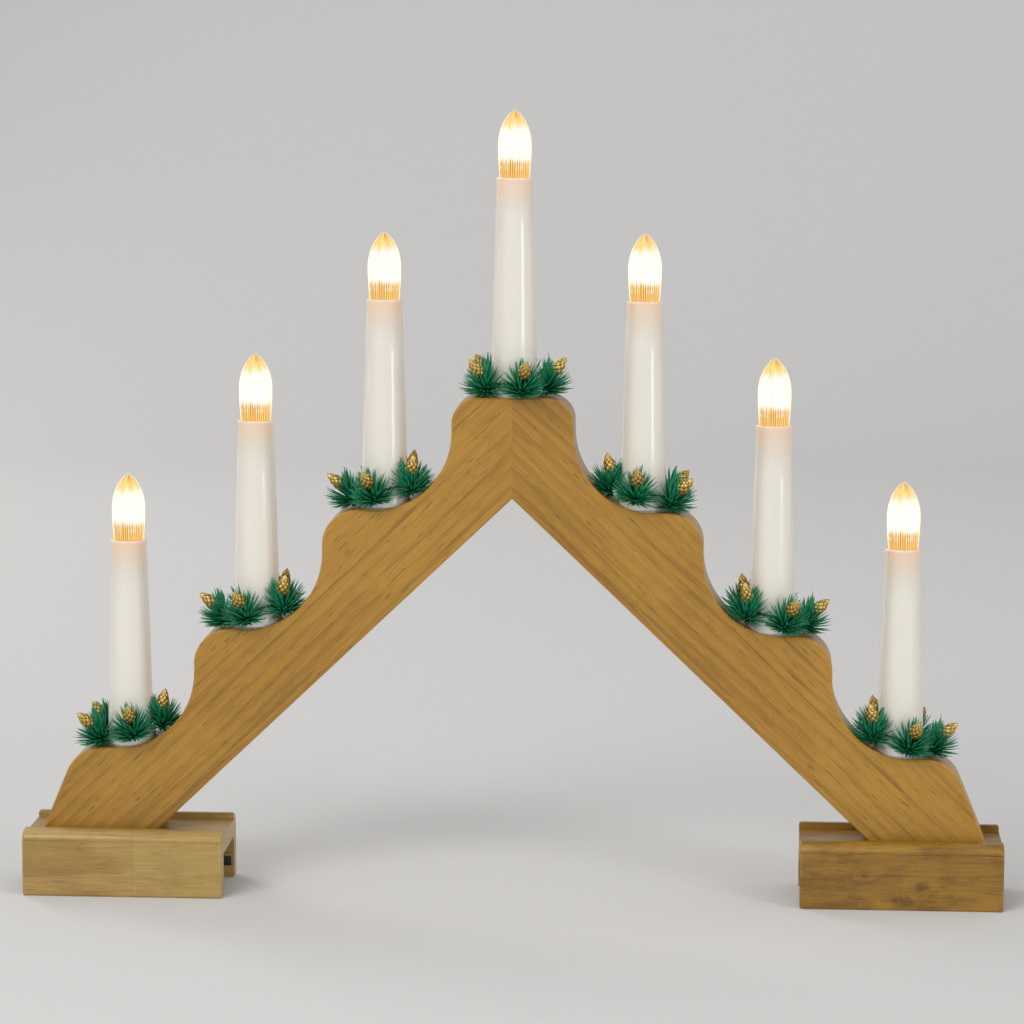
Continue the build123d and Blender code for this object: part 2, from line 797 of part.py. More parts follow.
        # Screw cap with the lit core on its stem
        with BuildSketch(turned_plane(x, rim)):
            with BuildLine():
                flange_top = flange_level + flange_height
                core_foot = flange_top + stem_height
                Polyline(
                    (0, flange_level - cap_length - cap_tip_height),
                    (cap_tip_radius, flange_level - cap_length - cap_tip_height),
                    (cap_tip_radius, flange_level - cap_length),
                    (cap_radius, flange_level - cap_length),
                    (cap_radius, flange_level),
                    (flange_radius, flange_level),
                    (flange_radius, flange_top),
                    (stem_radius, flange_top),
                    (stem_radius, core_foot),
                    (core_radius, core_foot + core_radius),
                    (core_radius, core_foot + core_height - core_radius),
                    (stem_radius, core_foot + core_height),
                    (0, core_foot + core_height),
                    close=True,
                )
            make_face()
        revolve(axis=axis)
    bulb.part.label = f"bulb_{number}"
    export_step(bulb.part, f"parts/bulb_{number}.step")

# Wreaths

def needle_plane(elevation, bearing):
    """Plane square to a needle where it leaves the hub, with the needle's flat side tangential."""
    rise = radians(elevation)
    turn = radians(bearing)
    along = (cos(rise) * cos(turn), cos(rise) * sin(turn), sin(rise))
    root = tuple(needle_start * share for share in along)
    return Plane(origin=root, x_dir=(-sin(turn), cos(turn), 0), z_dir=along)


def needle_length(tier, bearing):
    """Needles that point outward reach furthest."""
    if tier is not low_tier:
        return upper_needle_reach
    return side_needle_reach + (needle_reach - side_needle_reach) * cos(radians(bearing)) ** 2


with BuildPart() as sprig:
    with BuildSketch(Plane.XY.offset(-hub_height / 2)):
        RegularPolygon(hub_radius, hub_sides)
    extrude(amount=hub_height)
    with BuildSketch(Plane.XY.offset(peg_clearance - peg_length)):
        RegularPolygon(peg_radius, hub_sides)
    extrude(amount=peg_length - peg_clearance)
    # Stem that carries the pine cone
    with BuildSketch(Plane.XY.rotated((0, cone_lean, 0))):
        RegularPolygon(cone_stem_radius, hub_sides)
    extrude(amount=cone_stem_reach)
    for tier in (low_tier, middle_tier, top_tier):
        elevation, bearings = tier
        for bearing in bearings:
            root_plane = needle_plane(elevation, bearing)
            with BuildSketch(root_plane, mode=Mode.PRIVATE) as root:
                with BuildLine():
                    Polyline(
                        (-needle_width / 2, 0),
                        (0, -needle_thickness / 2),
                        (needle_width / 2, 0),
                        (0, needle_thickness / 2),
                        close=True,
                    )
                make_face()
            tip = Vertex(*root_plane.from_local_coords(Vector(0, 0, needle_length(tier, bearing))))
            loft(sections=[root.sketch, tip], ruled=True)

with BuildPart() as wreath_ring:
    with BuildSketch(Plane.XZ):
        with Locations((ring_radius, 0)):
            Rectangle(ring_thickness, ring_thickness)
    revolve(axis=Axis.Z)

with BuildPart() as pine_cone:
    row_height = cone_length / len(cone_row_radius_shares)
    for row, share in enumerate(cone_row_radius_shares):
        lip = cone_radius * share
        turn = row * 180 / cone_sides
        with BuildSketch(Plane.XY.offset(row * row_height)):
            RegularPolygon(lip * cone_row_waist_share, cone_sides, rotation=turn)
        with BuildSketch(Plane.XY.offset((row + 1) * row_height)):
            RegularPolygon(lip, cone_sides, rotation=turn)
        loft(ruled=True)


def wreath_frame(side, place, x):
    """Where a wreath lies: level on the apex, and tilted on the steps, with its pegs on the wood."""
    if place == 0:
        return Location((x, 0, candle_level(place) + peg_length), (0, 0, 0)), 0
    swing = peg_length * sin(radians(uphill_lift)) / 2
    uphill = cove_radius - sqrt(cove_radius ** 2 - (hub_ring_radius + swing + cove_centre) ** 2)
    tilt = atan2(uphill, 2 * hub_ring_radius)
    rise = uphill / 2 + peg_length * cos(tilt)
    drift = side * peg_length * sin(tilt) / 2
    return Location((x + drift, 0, candle_level(place) + rise), (0, side * degrees(tilt), 0)), 1


def sprig_places(number, side, place, x):
    """Location of each sprig of a wreath: those that point uphill are bent up over the cove."""
    frame, bend = wreath_frame(side, place, x)
    for turn in range(sprig_count):
        bearing = wreath_bearings[number - 1] + turn * 360 / sprig_count
        uphill_share = max(0, -side * cos(radians(bearing)))
        lift = bend * uphill_lift * uphill_share
        outward = Location((0, 0, 0), (0, 0, bearing)) * Location((hub_ring_radius, 0, 0), (0, -lift, 0))
        yield frame * outward


for number, side, place, x in candle_places():
    with BuildPart() as wreath:
        add(wreath_ring.part.moved(wreath_frame(side, place, x)[0]))
        add([sprig.part.moved(location) for location in sprig_places(number, side, place, x)])
    wreath.part.label = f"wreath_{number}"
    export_step(wreath.part, f"parts/wreath_{number}.step")

    with BuildPart() as cones:
        for location in sprig_places(number, side, place, x):
            stem_end = Location((0, 0, 0), (0, cone_lean, 0)) * Location((0, 0, cone_stem_reach + cone_seat_gap))
            add(pine_cone.part.moved(location * stem_end))
    cones.part.label = f"cones_{number}"
    export_step(cones.part, f"parts/cones_{number}.step")
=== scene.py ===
"""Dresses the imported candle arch: pine, lit candles, wreaths with gilded cones and the electrics."""
import logging
import math
import random
from dataclasses import dataclass
from enum import Enum

import bmesh
import bpy
from mathutils import Matrix, Vector


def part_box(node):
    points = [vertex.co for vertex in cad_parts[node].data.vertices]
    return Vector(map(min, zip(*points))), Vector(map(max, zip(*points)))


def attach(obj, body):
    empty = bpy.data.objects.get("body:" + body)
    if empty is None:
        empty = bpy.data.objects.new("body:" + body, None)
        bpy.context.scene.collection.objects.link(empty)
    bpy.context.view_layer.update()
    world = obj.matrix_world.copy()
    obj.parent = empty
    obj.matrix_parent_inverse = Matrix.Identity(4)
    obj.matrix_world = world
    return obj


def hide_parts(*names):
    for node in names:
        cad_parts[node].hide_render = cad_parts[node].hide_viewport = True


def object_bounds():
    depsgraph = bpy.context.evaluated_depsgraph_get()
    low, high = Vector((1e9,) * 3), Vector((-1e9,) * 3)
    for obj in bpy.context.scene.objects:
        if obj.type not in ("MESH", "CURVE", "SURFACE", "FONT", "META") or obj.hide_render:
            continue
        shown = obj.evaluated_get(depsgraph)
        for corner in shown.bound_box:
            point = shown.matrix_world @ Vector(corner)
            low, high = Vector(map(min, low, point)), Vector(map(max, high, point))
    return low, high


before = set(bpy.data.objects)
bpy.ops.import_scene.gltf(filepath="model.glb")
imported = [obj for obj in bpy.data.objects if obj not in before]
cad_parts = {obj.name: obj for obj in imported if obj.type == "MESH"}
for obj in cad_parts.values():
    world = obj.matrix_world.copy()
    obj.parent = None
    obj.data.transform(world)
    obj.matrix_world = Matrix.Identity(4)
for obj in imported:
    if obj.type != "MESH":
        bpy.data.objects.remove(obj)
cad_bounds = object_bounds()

Colour = tuple[float, float, float, float]

LOG = logging.getLogger("candle_arch")
MILLIMETRE = 0.001
# Distances in metres below which corners of CAD meshes, and points of new ones, are one.
MERGE_DISTANCE = 2e-6
POINT_DISTANCE = 1e-7
# Angles between faces: up to the first they are one plane, over the second their edge is sharp.
FLAT_ANGLE = math.radians(1)
EDGE_ANGLE = math.radians(40)
# Bearing of the foremost sprig of each wreath, from the left, in degrees.
WREATH_BEARINGS = (283.0, 258.0, 257.0, 287.0, 257.0, 220.0, 283.0)
BLACK: Colour = (0.0, 0.0, 0.0, 1.0)


def tint(red: int, green: int, blue: int) -> Colour:
    """Turns a colour as a screen shows it into the linear one that shaders take.

    Args:
        red: Red, from 0 to 255.
        green: Green, from 0 to 255.
        blue: Blue, from 0 to 255.

    Returns:
        The linear colour with full opacity.
    """
    shares = [channel / 255 for channel in (red, green, blue)]
    linear = [s / 12.92 if s <= 0.04045 else ((s + 0.055) / 1.055) ** 2.4 for s in shares]
    return (*linear, 1.0)


def darker(colour: Colour, share: float) -> Colour:
    """A colour with its channels lowered to a share of themselves."""
    return (*(channel * share for channel in colour[:3]), 1.0)


class Body(Enum):
    """The bodies of the part that new pieces ride on."""

    ARCH = "root"
    LID = "battery_lid"
    KNOB = "switch_knob"


class Blend(Enum):
    """How a colour is laid over another."""

    PLAIN = "MIX"
    DARKER = "MULTIPLY"


@dataclass(frozen=True)
class Signal:
    """An output socket of a shader that Python's operators work on.

    Attributes:
        shader: The shader that holds the socket.
        socket: The wrapped output socket.
    """

    shader: "Shader"
    socket: bpy.types.NodeSocket

    def maths(self, operation: str, *others: "Signal | float") -> "Signal":
        """Adds a Math node.

        Args:
            operation: Name of the node's operation.
            *others: Its other values.

        Returns:
            The node's result.
        """
        return self.shader.node("ShaderNodeMath", {"operation": operation}, dict(enumerate((self, *others))))

    def __add__(self, other: "Signal | float") -> "Signal":
        """Sum with a signal or a number."""
        return self.maths("ADD", other)

    __radd__ = __add__

    def __mul__(self, other: "Signal | float") -> "Signal":
        """Product with a signal or a number."""
        return self.maths("MULTIPLY", other)

    __rmul__ = __mul__

    def __sub__(self, other: "Signal | float") -> "Signal":
        """Difference from a signal or a number."""
        return self.maths("SUBTRACT", other)

    def __rsub__(self, other: float) -> "Signal":
        """Difference of a number from this signal."""
        return (self * -1) + other

    def __truediv__(self, other: "Signal | float") -> "Signal":
        """Quotient by a signal or a number."""
        return self.maths("DIVIDE", other)

    def fraction(self) -> "Signal":
        """What is left over the next lower whole number."""
        return self.maths("FRACT")

    def fade(self, low: float, high: float) -> "Signal":
        """Rises smoothly from 0 to 1.

        Args:
            low: Value at which the result is 0.
            high: Value at which the result is 1. It may be the smaller of the two.

        Returns:
            The smooth step.
        """
        settings = {"interpolation_type": "SMOOTHSTEP"}
        if low <= high:
            return self.shader.node("ShaderNodeMapRange", settings, {0: self, 1: low, 2: high})
        return 1 - self.fade(high, low)

    def band(self, middle: float, half_width: float) -> "Signal":
        """A soft hump of height 1.

        Args:
            middle: Value at its top.
            half_width: Distance from there to where it ends.

        Returns:
            The hump.
        """
        return (self - middle).maths("ABSOLUTE").fade(half_width, 0)


class Shader:
    """A node material that is written as Python expressions."""

    def __init__(self, name: str) -> None:
        """Starts an empty material.

        Args:
            name: Name of the material.
        """
        self.material = bpy.data.materials.new(name)
        self.material.use_nodes = True
        self.tree = self.material.node_tree
        self.tree.nodes.clear()

    def node(
        self,
        kind: str,
        settings: dict[str, object] | None = None,
        inputs: dict[str | int, object] | None = None,
        output: str | int = 0,
    ) -> Signal:
        """Adds a node of any type.

        Args:
            kind: Type of the node.
            settings: Properties that are set first. The key stops holds a ramp's places and colours.
            inputs: Values or signals of its sockets, by name or number.
            output: The output that is wanted.

        Returns:
            That output.
        """
        made = self.tree.nodes.new(kind)
        for key, value in (settings or {}).items():
            if key == "stops":
                self._set_stops(made.color_ramp, value)
            else:
                setattr(made, key, value)
        for key, value in (inputs or {}).items():
            if isinstance(value, Signal):
                self.tree.links.new(value.socket, made.inputs[key])
            else:
                made.inputs[key].default_value = value
        return Signal(self, made.outputs[output])

    @staticmethod
    def _set_stops(ramp: bpy.types.ColorRamp, stops: list[tuple[float, Colour]]) -> None:
        """Gives a ramp its places and colours.

        Args:
            ramp: The ramp of a node.
            stops: Places from 0 to 1, each with its colour.
        """
        while len(ramp.elements) < len(stops):
            ramp.elements.new(1.0)
        for element, (place, colour) in zip(ramp.elements, stops):
            element.position = place
            element.color = colour

    def place(self) -> Signal:
        """Object coordinates, in metres."""
        return self.node("ShaderNodeTexCoord", output="Object")

    def attribute(self, name: str) -> Signal:
        """A vector that the mesh carries.

        Args:
            name: Name of the attribute.

        Returns:
            Its vector.
        """
        return self.node("ShaderNodeAttribute", {"attribute_name": name}, output="Vector")

    def turned(self, vector: Signal, turn: tuple[float, float, float]) -> Signal:
        """Turns a vector.

        Args:
            vector: The vector.
            turn: Angles about X, Y and Z, in degrees.

        Returns:
            The turned vector.
        """
        angles = tuple(math.radians(angle) for angle in turn)
        return self.node("ShaderNodeMapping", inputs={"Vector": vector, "Rotation": angles})

    def stretched(self, vector: Signal, scale: tuple[float, float, float]) -> Signal:
        """Scales a vector along its axes.

        Args:
            vector: The vector.
            scale: Factors along X, Y and Z.

        Returns:
            The scaled vector.
        """
        return self.node("ShaderNodeVectorMath", {"operation": "MULTIPLY"}, {0: vector, 1: scale})

    def axes(self, vector: Signal) -> tuple[Signal, Signal, Signal]:
        """Splits a vector.

        Args:
            vector: The vector.

        Returns:
            Its X, Y and Z.
        """
        split = self.node("ShaderNodeSeparateXYZ", inputs={"Vector": vector}).socket.node
        return tuple(Signal(self, socket) for socket in split.outputs)

    def noise(self, vector: Signal, scale: float, detail: float = 3.0, roughness: float = 0.5) -> Signal:
        """Soft noise about 0.5.

        Args:
            vector: Where it is read.
            scale: Its lumps per metre.
            detail: Octaves.
            roughness: Share of the finer octaves.

        Returns:
            The noise.
        """
        inputs = {"Vector": vector, "Scale": scale, "Detail": detail, "Roughness": roughness}
        return self.node("ShaderNodeTexNoise", inputs=inputs)

    def mix(self, factor: Signal | float, base: object, over: object, blend: Blend = Blend.PLAIN) -> Signal:
        """Mixes two colours.

        Args:
            factor: Share of the second colour.
            base: First colour.
            over: Second colour.
            blend: How the second is laid on.

        Returns:
            The mixed colour.
        """
        settings = {"data_type": "RGBA", "blend_type": blend.value}
        return self.node("ShaderNodeMix", settings, {0: factor, 6: base, 7: over}, output=2)

    def bump(self, height: Signal, depth: float) -> Signal:
        """Normal of a surface with relief.

        Args:
            height: Relief from 0 to 1.
            depth: Its depth, in metres.

        Returns:
            The normal.
        """
        return self.node("ShaderNodeBump", inputs={"Height": height, "Distance": depth})

    def close(self, surface: Signal) -> bpy.types.Material:
        """Joins a surface to the output.

        Args:
            surface: The shader that is shown.

        Returns:
            The finished material.
        """
        output = self.tree.nodes.new("ShaderNodeOutputMaterial")
        self.tree.links.new(surface.socket, output.inputs["Surface"])
        return self.material

    def principled(self, **inputs: object) -> Signal:
        """Adds the main surface shader.

        Args:
            **inputs: Its sockets, with underscores for spaces.

        Returns:
            The shader.
        """
        named = {key.replace("_", " "): value for key, value in inputs.items()}
        return self.node("ShaderNodeBsdfPrincipled", inputs=named)


@dataclass(frozen=True)
class VarnishedPine:
    """Pine with its growth rings running along a board, under a satin varnish.

    Attributes:
        name: Name of the material.
        early: Colour of the wide pale bands.
        late: Colour of the narrow dark lines.
        pitch: Angle of the grain above the X axis, in degrees.
        pith: Place of the rings' centre line across the grain, in metres.
        ring_width: Width of a year's ring, in metres.
        ring_contrast: Strength of the dark half of a ring.
        streak_share: Strength of the short resin streaks.
        knots: Place along X, height and radius of each knot, in metres.
        mottle: Strength of the cloudy darkening.
        seam: Place along X of a glued joint between two blocks, in metres, or 0 for none.
        seam_width: Half of the width of its line, in metres.
        beyond_tone: Colour that the block beyond the joint tends to.
        shade: Factor on the colours, over 1 where a highlight is painted on eased edges and mouldings.
        wander: How far the rings stray, in metres.
        relief: Depth of the surface grain, in metres.
    """

    name: str
    early: Colour
    late: Colour
    pitch: float = 0.0
    pith: tuple[float, float] = (0.034, 0.012)
    ring_width: float = 0.0052
    ring_contrast: float = 0.46
    streak_share: float = 0.5
    knots: tuple[tuple[float, float, float], ...] = ()
    mottle: float = 0.16
    seam: float = 0.0
    seam_width: float = 0.0009
    beyond_tone: Colour = tint(180, 152, 92)
    shade: float = 1.0
    wander: float = 0.016
    relief: float = 0.00012

    def build(self) -> bpy.types.Material:
        """Makes the material.

        Returns:
            The pine.
        """
        shader = Shader(self.name)
        place = shader.place()
        along = shader.turned(place, (0, self.pitch, 0))
        wander = shader.noise(shader.stretched(along, (0.22, 1, 1)), 26, 2)
        _, depth, height = shader.axes(along)
        across = depth - self.pith[0]
        upward = height - self.pith[1]
        radius = (across * across + upward * upward).maths("SQRT") + (wander - 0.5) * self.wander
        phase = radius / self.ring_width
        knot_dark: Signal | float = 0.0
        for knot in self.knots:
            distance = self._knot_distance(shader, place, knot)
            phase = phase + distance.fade(4.0, 0) * 0.8
            knot_dark = distance.fade(1.5, 0.2) + knot_dark
        beyond = self._beyond_seam(shader, place)
        year = (phase + beyond * 0.45).fraction()
        late = year.fade(0.3, 0.93) * year.fade(1.0, 0.92)
        uneven = shader.noise(shader.stretched(along, (0.4, 1, 1)), 24, 3)
        fibre = shader.noise(shader.stretched(along, (0.05, 1, 1)), 1300, 3, 0.6)
        streak = shader.noise(shader.stretched(along, (0.12, 1, 1)), 980, 3, 0.6)
        long_streak = shader.noise(shader.stretched(along, (0.03, 0.6, 1)), 330, 3, 0.6)
        dashes = streak.fade(0.6, 0.7) * self.streak_share
        lines = long_streak.fade(0.58, 0.7) * self.streak_share * 0.8
        colour = shader.mix(late * uneven.fade(0.3, 0.72) * self.ring_contrast, self.early, self.late)
        colour = shader.mix(uneven.fade(0.35, 0.75) * 0.3, colour, self.late)
        colour = shader.mix(dashes, colour, darker(self.late, 0.42))
        colour = shader.mix(lines, colour, darker(self.late, 0.6))
        colour = shader.mix(fibre.fade(0.35, 0.75) * 0.34, colour, darker(self.late, 0.7))
        cloud = shader.noise(shader.stretched(along, (0.45, 1, 1)), 110, 6, 0.72)
        colour = shader.mix(cloud.fade(0.42, 0.68) * self.mottle, colour, darker(self.late, 0.72))
        if self.knots:
            colour = shader.mix(knot_dark.fade(0, 1) * 0.5, colour, darker(self.late, 0.4))
        if self.seam:
            line = (shader.axes(place)[0] - self.seam).band(0, self.seam_width)
            colour = shader.mix(beyond * 0.16, colour, self.beyond_tone)
            colour = shader.mix(line * 0.22 * uneven, colour, darker(self.late, 0.6))
        # Factors over 1 brighten the wood: a painted highlight on eased edges and mouldings.
        colour = shader.mix(1.0, colour, (self.shade, self.shade, self.shade, 1), Blend.DARKER)
        surface = shader.principled(
            Base_Color=colour,
            Roughness=0.34 + fibre * 0.14,
            Coat_Weight=0.22,
            Coat_Roughness=0.16,
            Specular_IOR_Level=0.42,
            Normal=shader.bump(fibre * 0.6 + late * 0.4, self.relief),
        )
        return shader.close(surface)

    def _beyond_seam(self, shader: Shader, place: Signal) -> Signal | float:
        """Tells the block beyond the glued joint from the one before it.

        Args:
            shader: The shader being made.
            place: Object coordinates.

        Returns:
            1 beyond the joint and 0 before it, or 0 where there is no joint.
        """
        if not self.seam:
            return 0.0
        return (shader.axes(place)[0] - self.seam).fade(0, 0.0001)

    @staticmethod
    def _knot_distance(shader: Shader, place: Signal, knot: tuple[float, float, float]) -> Signal:
        """Distance from a knot in its radii.

        Args:
            shader: The shader being made.
            place: Object coordinates.
            knot: Place along X, height and radius.

        Returns:
            The distance, 1 at the knot's edge.
        """
        x, _, z = shader.axes(place)
        ragged = (shader.noise(place, 420, 3) - 0.5) * 2.2
        side = (x - knot[0]) / (knot[2] * 1.6) + ragged
        rise = (z - knot[1]) / knot[2] + ragged * 0.6
        return (side * side + rise * rise).maths("SQRT")


@dataclass(frozen=True)
class MouldedPlastic:
    """Plastic from a mould, with a faint unevenness of colour and gloss.

    Attributes:
        name: Name of the material.
        colour: Its colour.
        roughness: Middle of its roughness.
        grain: Lumps per metre of its surface grain.
        relief: Depth of that grain, in metres.
        coat: Weight of its gloss coat.
        cloud_share: Share of the colour that is left in its duller clouds.
    """

    name: str
    colour: Colour
    roughness: float
    grain: float = 900.0
    relief: float = 0.00001
    coat: float = 0.0
    cloud_share: float = 0.82

    def build(self) -> bpy.types.Material:
        """Makes the material.

        Returns:
            The plastic.
        """
        shader = Shader(self.name)
        place = shader.place()
        cloud = shader.noise(place, 60, 2)
        grain = shader.noise(place, self.grain, 2)
        duller = darker(self.colour, self.cloud_share)
        surface = shader.principled(
            Base_Color=shader.mix(cloud.fade(0.25, 0.85), self.colour, duller),
            Roughness=self.roughness - 0.05 + grain * 0.1,
            Coat_Weight=self.coat,
            Coat_Roughness=0.08,
            Normal=shader.bump(grain, self.relief),
        )
        return shader.close(surface)


@dataclass(frozen=True)
class CandlePlastic:
    """Glossy warm white of the candle tubes, with the lamp's light painted on at the rim.

    Attributes:
        name: Name of the material.
        body: Colour of the tube.
        cloud: Colour that its faint clouds tend to, a painted shade in vertical streaks.
        warm: Colour near the rim.
        glow: Light that comes through there.
        glow_depth: Length of the warm stretch below the rim, in metres.
        relief: Depth of the unevenness of its wall, in metres.
    """

    name: str = "candle_plastic_lit"
    body: Colour = tint(236, 230, 217)
    cloud: Colour = tint(214, 206, 192)
    # warm: Colour near the rim, painted light of the lamp.
    warm: Colour = tint(238, 212, 184)
    glow: Colour = tint(138, 92, 56)
    glow_depth: float = 0.02
    relief: float = 0.00003

    def build(self) -> bpy.types.Material:
        """Makes the material.

        Returns:
            The plastic.
        """
        shader = Shader(self.name)
        local = shader.attribute("local")
        _, _, height = shader.axes(local)
        cloud = shader.noise(shader.stretched(local, (1, 1, 0.15)), 90, 2)
        ripple = shader.noise(shader.stretched(local, (1, 1, 0.05)), 240, 1)
        # Painted light: near the rim the colour warms and the tube glows.
        lit = height.fade(-self.glow_depth, MILLIMETRE)
        # Painted shade: the faint clouds darken the tube in vertical streaks.
        colour = shader.mix(cloud.fade(0.3, 0.8) * 0.25, self.body, self.cloud)
        colour = shader.mix(lit * 0.85, colour, self.warm)
        surface = shader.principled(
            Base_Color=colour,
            Roughness=0.2 + cloud * 0.1,
            Coat_Weight=0.8,
            Coat_Roughness=0.04,
            Emission_Color=shader.mix(lit * lit, BLACK, self.glow),
            Emission_Strength=0.4,
            Normal=shader.bump(ripple, self.relief),
        )
        return shader.close(surface)


@dataclass(frozen=True)
class LampGlow:
    """Light inside a lamp, as its ribs spread it: white-hot in the middle and amber at both ends.

    Attributes:
        name: Name of the material.
        length: Height of the glass above the rim, in metres.
        ribs: Number of ribs round the glass.
        strength: Strength of the light.
        brown: Colour between the ribs near the rim.
        amber: Colour of the ribs there.
        honey: Darker colour near the tip.
        cream: Paler colour near the tip.
        tip: Colour of the streaks in the tip.
        white: Colour of the middle.
        warm_white: Warmer streaks of the middle.
        spark: Colour of the bright spots on the ribs near the rim.
    """

    name: str = "lamp_glow"
    length: float = 0.0304
    ribs: int = 40
    strength: float = 1.1
    brown: Colour = tint(198, 126, 50)
    amber: Colour = tint(255, 220, 132)
    honey: Colour = tint(240, 186, 92)
    cream: Colour = tint(255, 228, 152)
    tip: Colour = tint(190, 128, 66)
    white: Colour = tint(255, 255, 252)
    warm_white: Colour = tint(255, 249, 222)
    spark: Colour = tint(255, 252, 232)

    def build(self) -> bpy.types.Material:
        """Makes the material.

        Returns:
            The light.
        """
        shader = Shader(self.name)
        x, y, z = shader.axes(shader.attribute("local"))
        level = z / self.length
        angle = y.maths("ARCTAN2", x)
        rib = (angle * self.ribs).maths("COSINE") * 0.5 + 0.5
        turned = {0: angle.maths("COSINE"), 1: angle.maths("SINE"), 2: level * 0.3}
        around = shader.node("ShaderNodeCombineXYZ", inputs=turned)
        coarse = shader.noise(around, 2.4, 2)
        fine = shader.noise(around, 9.0, 2)
        ragged = (coarse - 0.5) * 0.2 + (fine - 0.5) * 0.16
        white = (level + ragged + rib * 0.04).fade(0.19, 0.33) * (level - ragged).fade(0.84, 0.66)
        low = shader.mix(rib * 0.7 + fine.fade(0.4, 0.62) * 0.3, self.brown, self.amber)
        high = shader.mix(fine.fade(0.34, 0.66), self.honey, self.cream)
        streak = level.fade(0.84, 0.96) * coarse.fade(0.46, 0.58) * 0.6
        ends = shader.mix(level.fade(0.4, 0.6), low, shader.mix(streak, high, self.tip))
        hot = shader.mix(fine.fade(0.4, 0.7) * 0.8, self.white, self.warm_white)
        spots = level.band(0.15, 0.06) * rib * coarse.fade(0.44, 0.6)
        lit = shader.mix(spots, shader.mix(white, ends, hot), self.spark)
        surface = shader.principled(
            Base_Color=BLACK,
            Roughness=0.6,
            Specular_IOR_Level=0.0,
            Emission_Color=lit,
            Emission_Strength=self.strength,
        )
        return shader.close(surface)


@dataclass(frozen=True)
class RibbedGlass:
    """Clear glass of the lamps, which shows by what it mirrors at its ribs and edges.

    Attributes:
        name: Name of the material.
        edge: Share of the mirror at the outline.
        middle: Share of the mirror where the glass faces the eye.
        clear: Colour of what shows through.
        mirror: Colour of what it mirrors.
        gleam: Colour of its own faint light.
    """

    name: str = "ribbed_glass"
    edge: float = 0.8
    middle: float = 0.04
    clear: Colour = (1.0, 0.985, 0.955, 1.0)
    mirror: Colour = tint(255, 232, 190)
    gleam: Colour = tint(255, 238, 190)

    def build(self) -> bpy.types.Material:
        """Makes the material.

        Returns:
            The glass.
        """
        shader = Shader(self.name)
        facing = shader.node("ShaderNodeLayerWeight", inputs={"Blend": 0.35}, output="Facing")
        clear = shader.node("ShaderNodeBsdfTransparent", inputs={"Color": self.clear})
        gloss = shader.principled(
            Base_Color=self.mirror,
            Roughness=0.06,
            Emission_Color=self.gleam,
            Emission_Strength=0.8,
        )
        factor = facing.fade(0.42, 0.95) * self.edge + self.middle
        return shader.close(shader.node("ShaderNodeMixShader", inputs={0: factor, 1: clear, 2: gloss}))


@dataclass(frozen=True)
class NeedleGreen:
    """Soft plastic of the wreaths: dark at the roots and paler towards each blade's tip and edges.

    Attributes:
        name: Name of the material.
        root: Colour at the roots.
        middle: Colour of the blades.
        tip: Colour of their ends.
        deep: Colour that some blades tend to.
        relief: Depth of the surface grain, in metres.
    """

    name: str = "needle_green_blades"
    root: Colour = tint(4, 52, 34)
    middle: Colour = tint(8, 128, 84)
    tip: Colour = tint(52, 180, 128)
    deep: Colour = tint(6, 66, 44)
    relief: float = 0.00003

    def build(self) -> bpy.types.Material:
        """Makes the material.

        Returns:
            The green.
        """
        shader = Shader(self.name)
        along, seed, ridge = shader.axes(shader.attribute("blade"))
        grain = shader.noise(shader.place(), 1400, 2)
        colour = shader.mix(along.fade(0.02, 0.5), self.root, self.middle)
        colour = shader.mix(along.fade(0.55, 1.0) * 0.6, colour, self.tip)
        colour = shader.mix(ridge * 0.3, colour, self.tip)
        colour = shader.mix(seed * 0.4, colour, self.deep)
        surface = shader.principled(
            Base_Color=colour,
            Roughness=0.36 + grain * 0.16,
            Coat_Weight=0.12,
            Normal=shader.bump(grain, self.relief),
        )
        return shader.close(surface)


@dataclass(frozen=True)
class GildedScales:
    """Bright gilding of the cones, with painted shade dark between their scales.

    Attributes:
        name: Name of the material.
        gold: Colour of the scales.
        recess_shade: Colour between them, a painted shade.
        bright: Colour of the scales near the tip.
        worn: Colour of the worn specks.
        relief: Depth of the specks, in metres.
    """

    name: str = "gilded_scales"
    gold: Colour = tint(214, 178, 92)
    recess_shade: Colour = tint(32, 21, 6)
    bright: Colour = tint(242, 214, 134)
    worn: Colour = tint(150, 98, 30)
    relief: float = 0.00004

    def build(self) -> bpy.types.Material:
        """Makes the material.

        Returns:
            The gilding.
        """
        shader = Shader(self.name)
        height, rise, _ = shader.axes(shader.attribute("scale"))
        speck = shader.noise(shader.place(), 2600, 2)
        raised = height.fade(0.16, 0.58)
        # Painted shade: the gilding turns dark between the raised scales.
        colour = shader.mix(raised, self.recess_shade, self.gold)
        colour = shader.mix(rise.fade(0.6, 1.0) * 0.4, colour, self.bright)
        colour = shader.mix(speck.fade(0.6, 0.75) * 0.35, colour, self.worn)
        surface = shader.principled(
            Base_Color=colour,
            Metallic=0.2 + raised * 0.6,
            Roughness=0.5 - raised * 0.18,
            Normal=shader.bump(speck, self.relief),
        )
        return shader.close(surface)


@dataclass(frozen=True)
class PlatedMetal:
    """Bright plated metal with fine rub marks.

    Attributes:
        name: Name of the material.
        colour: Its colour.
        roughness: Middle of its roughness.
        cloud_share: Share of the colour that is left in its duller clouds.
        relief: Depth of the rub marks, in metres.
    """

    name: str
    colour: Colour
    roughness: float
    cloud_share: float = 0.72
    relief: float = 0.00002

    def build(self) -> bpy.types.Material:
        """Makes the material.

        Returns:
            The metal.
        """
        shader = Shader(self.name)
        place = shader.place()
        rub = shader.noise(shader.stretched(place, (0.1, 1, 1)), 1800, 2)
        cloud = shader.noise(place, 140, 2)
        duller = darker(self.colour, self.cloud_share)
        surface = shader.principled(
            Base_Color=shader.mix(cloud.fade(0.4, 0.8) * 0.6, self.colour, duller),
            Metallic=1.0,
            Roughness=self.roughness - 0.08 + rub * 0.16,
            Normal=shader.bump(rub, self.relief),
        )
        return shader.close(surface)


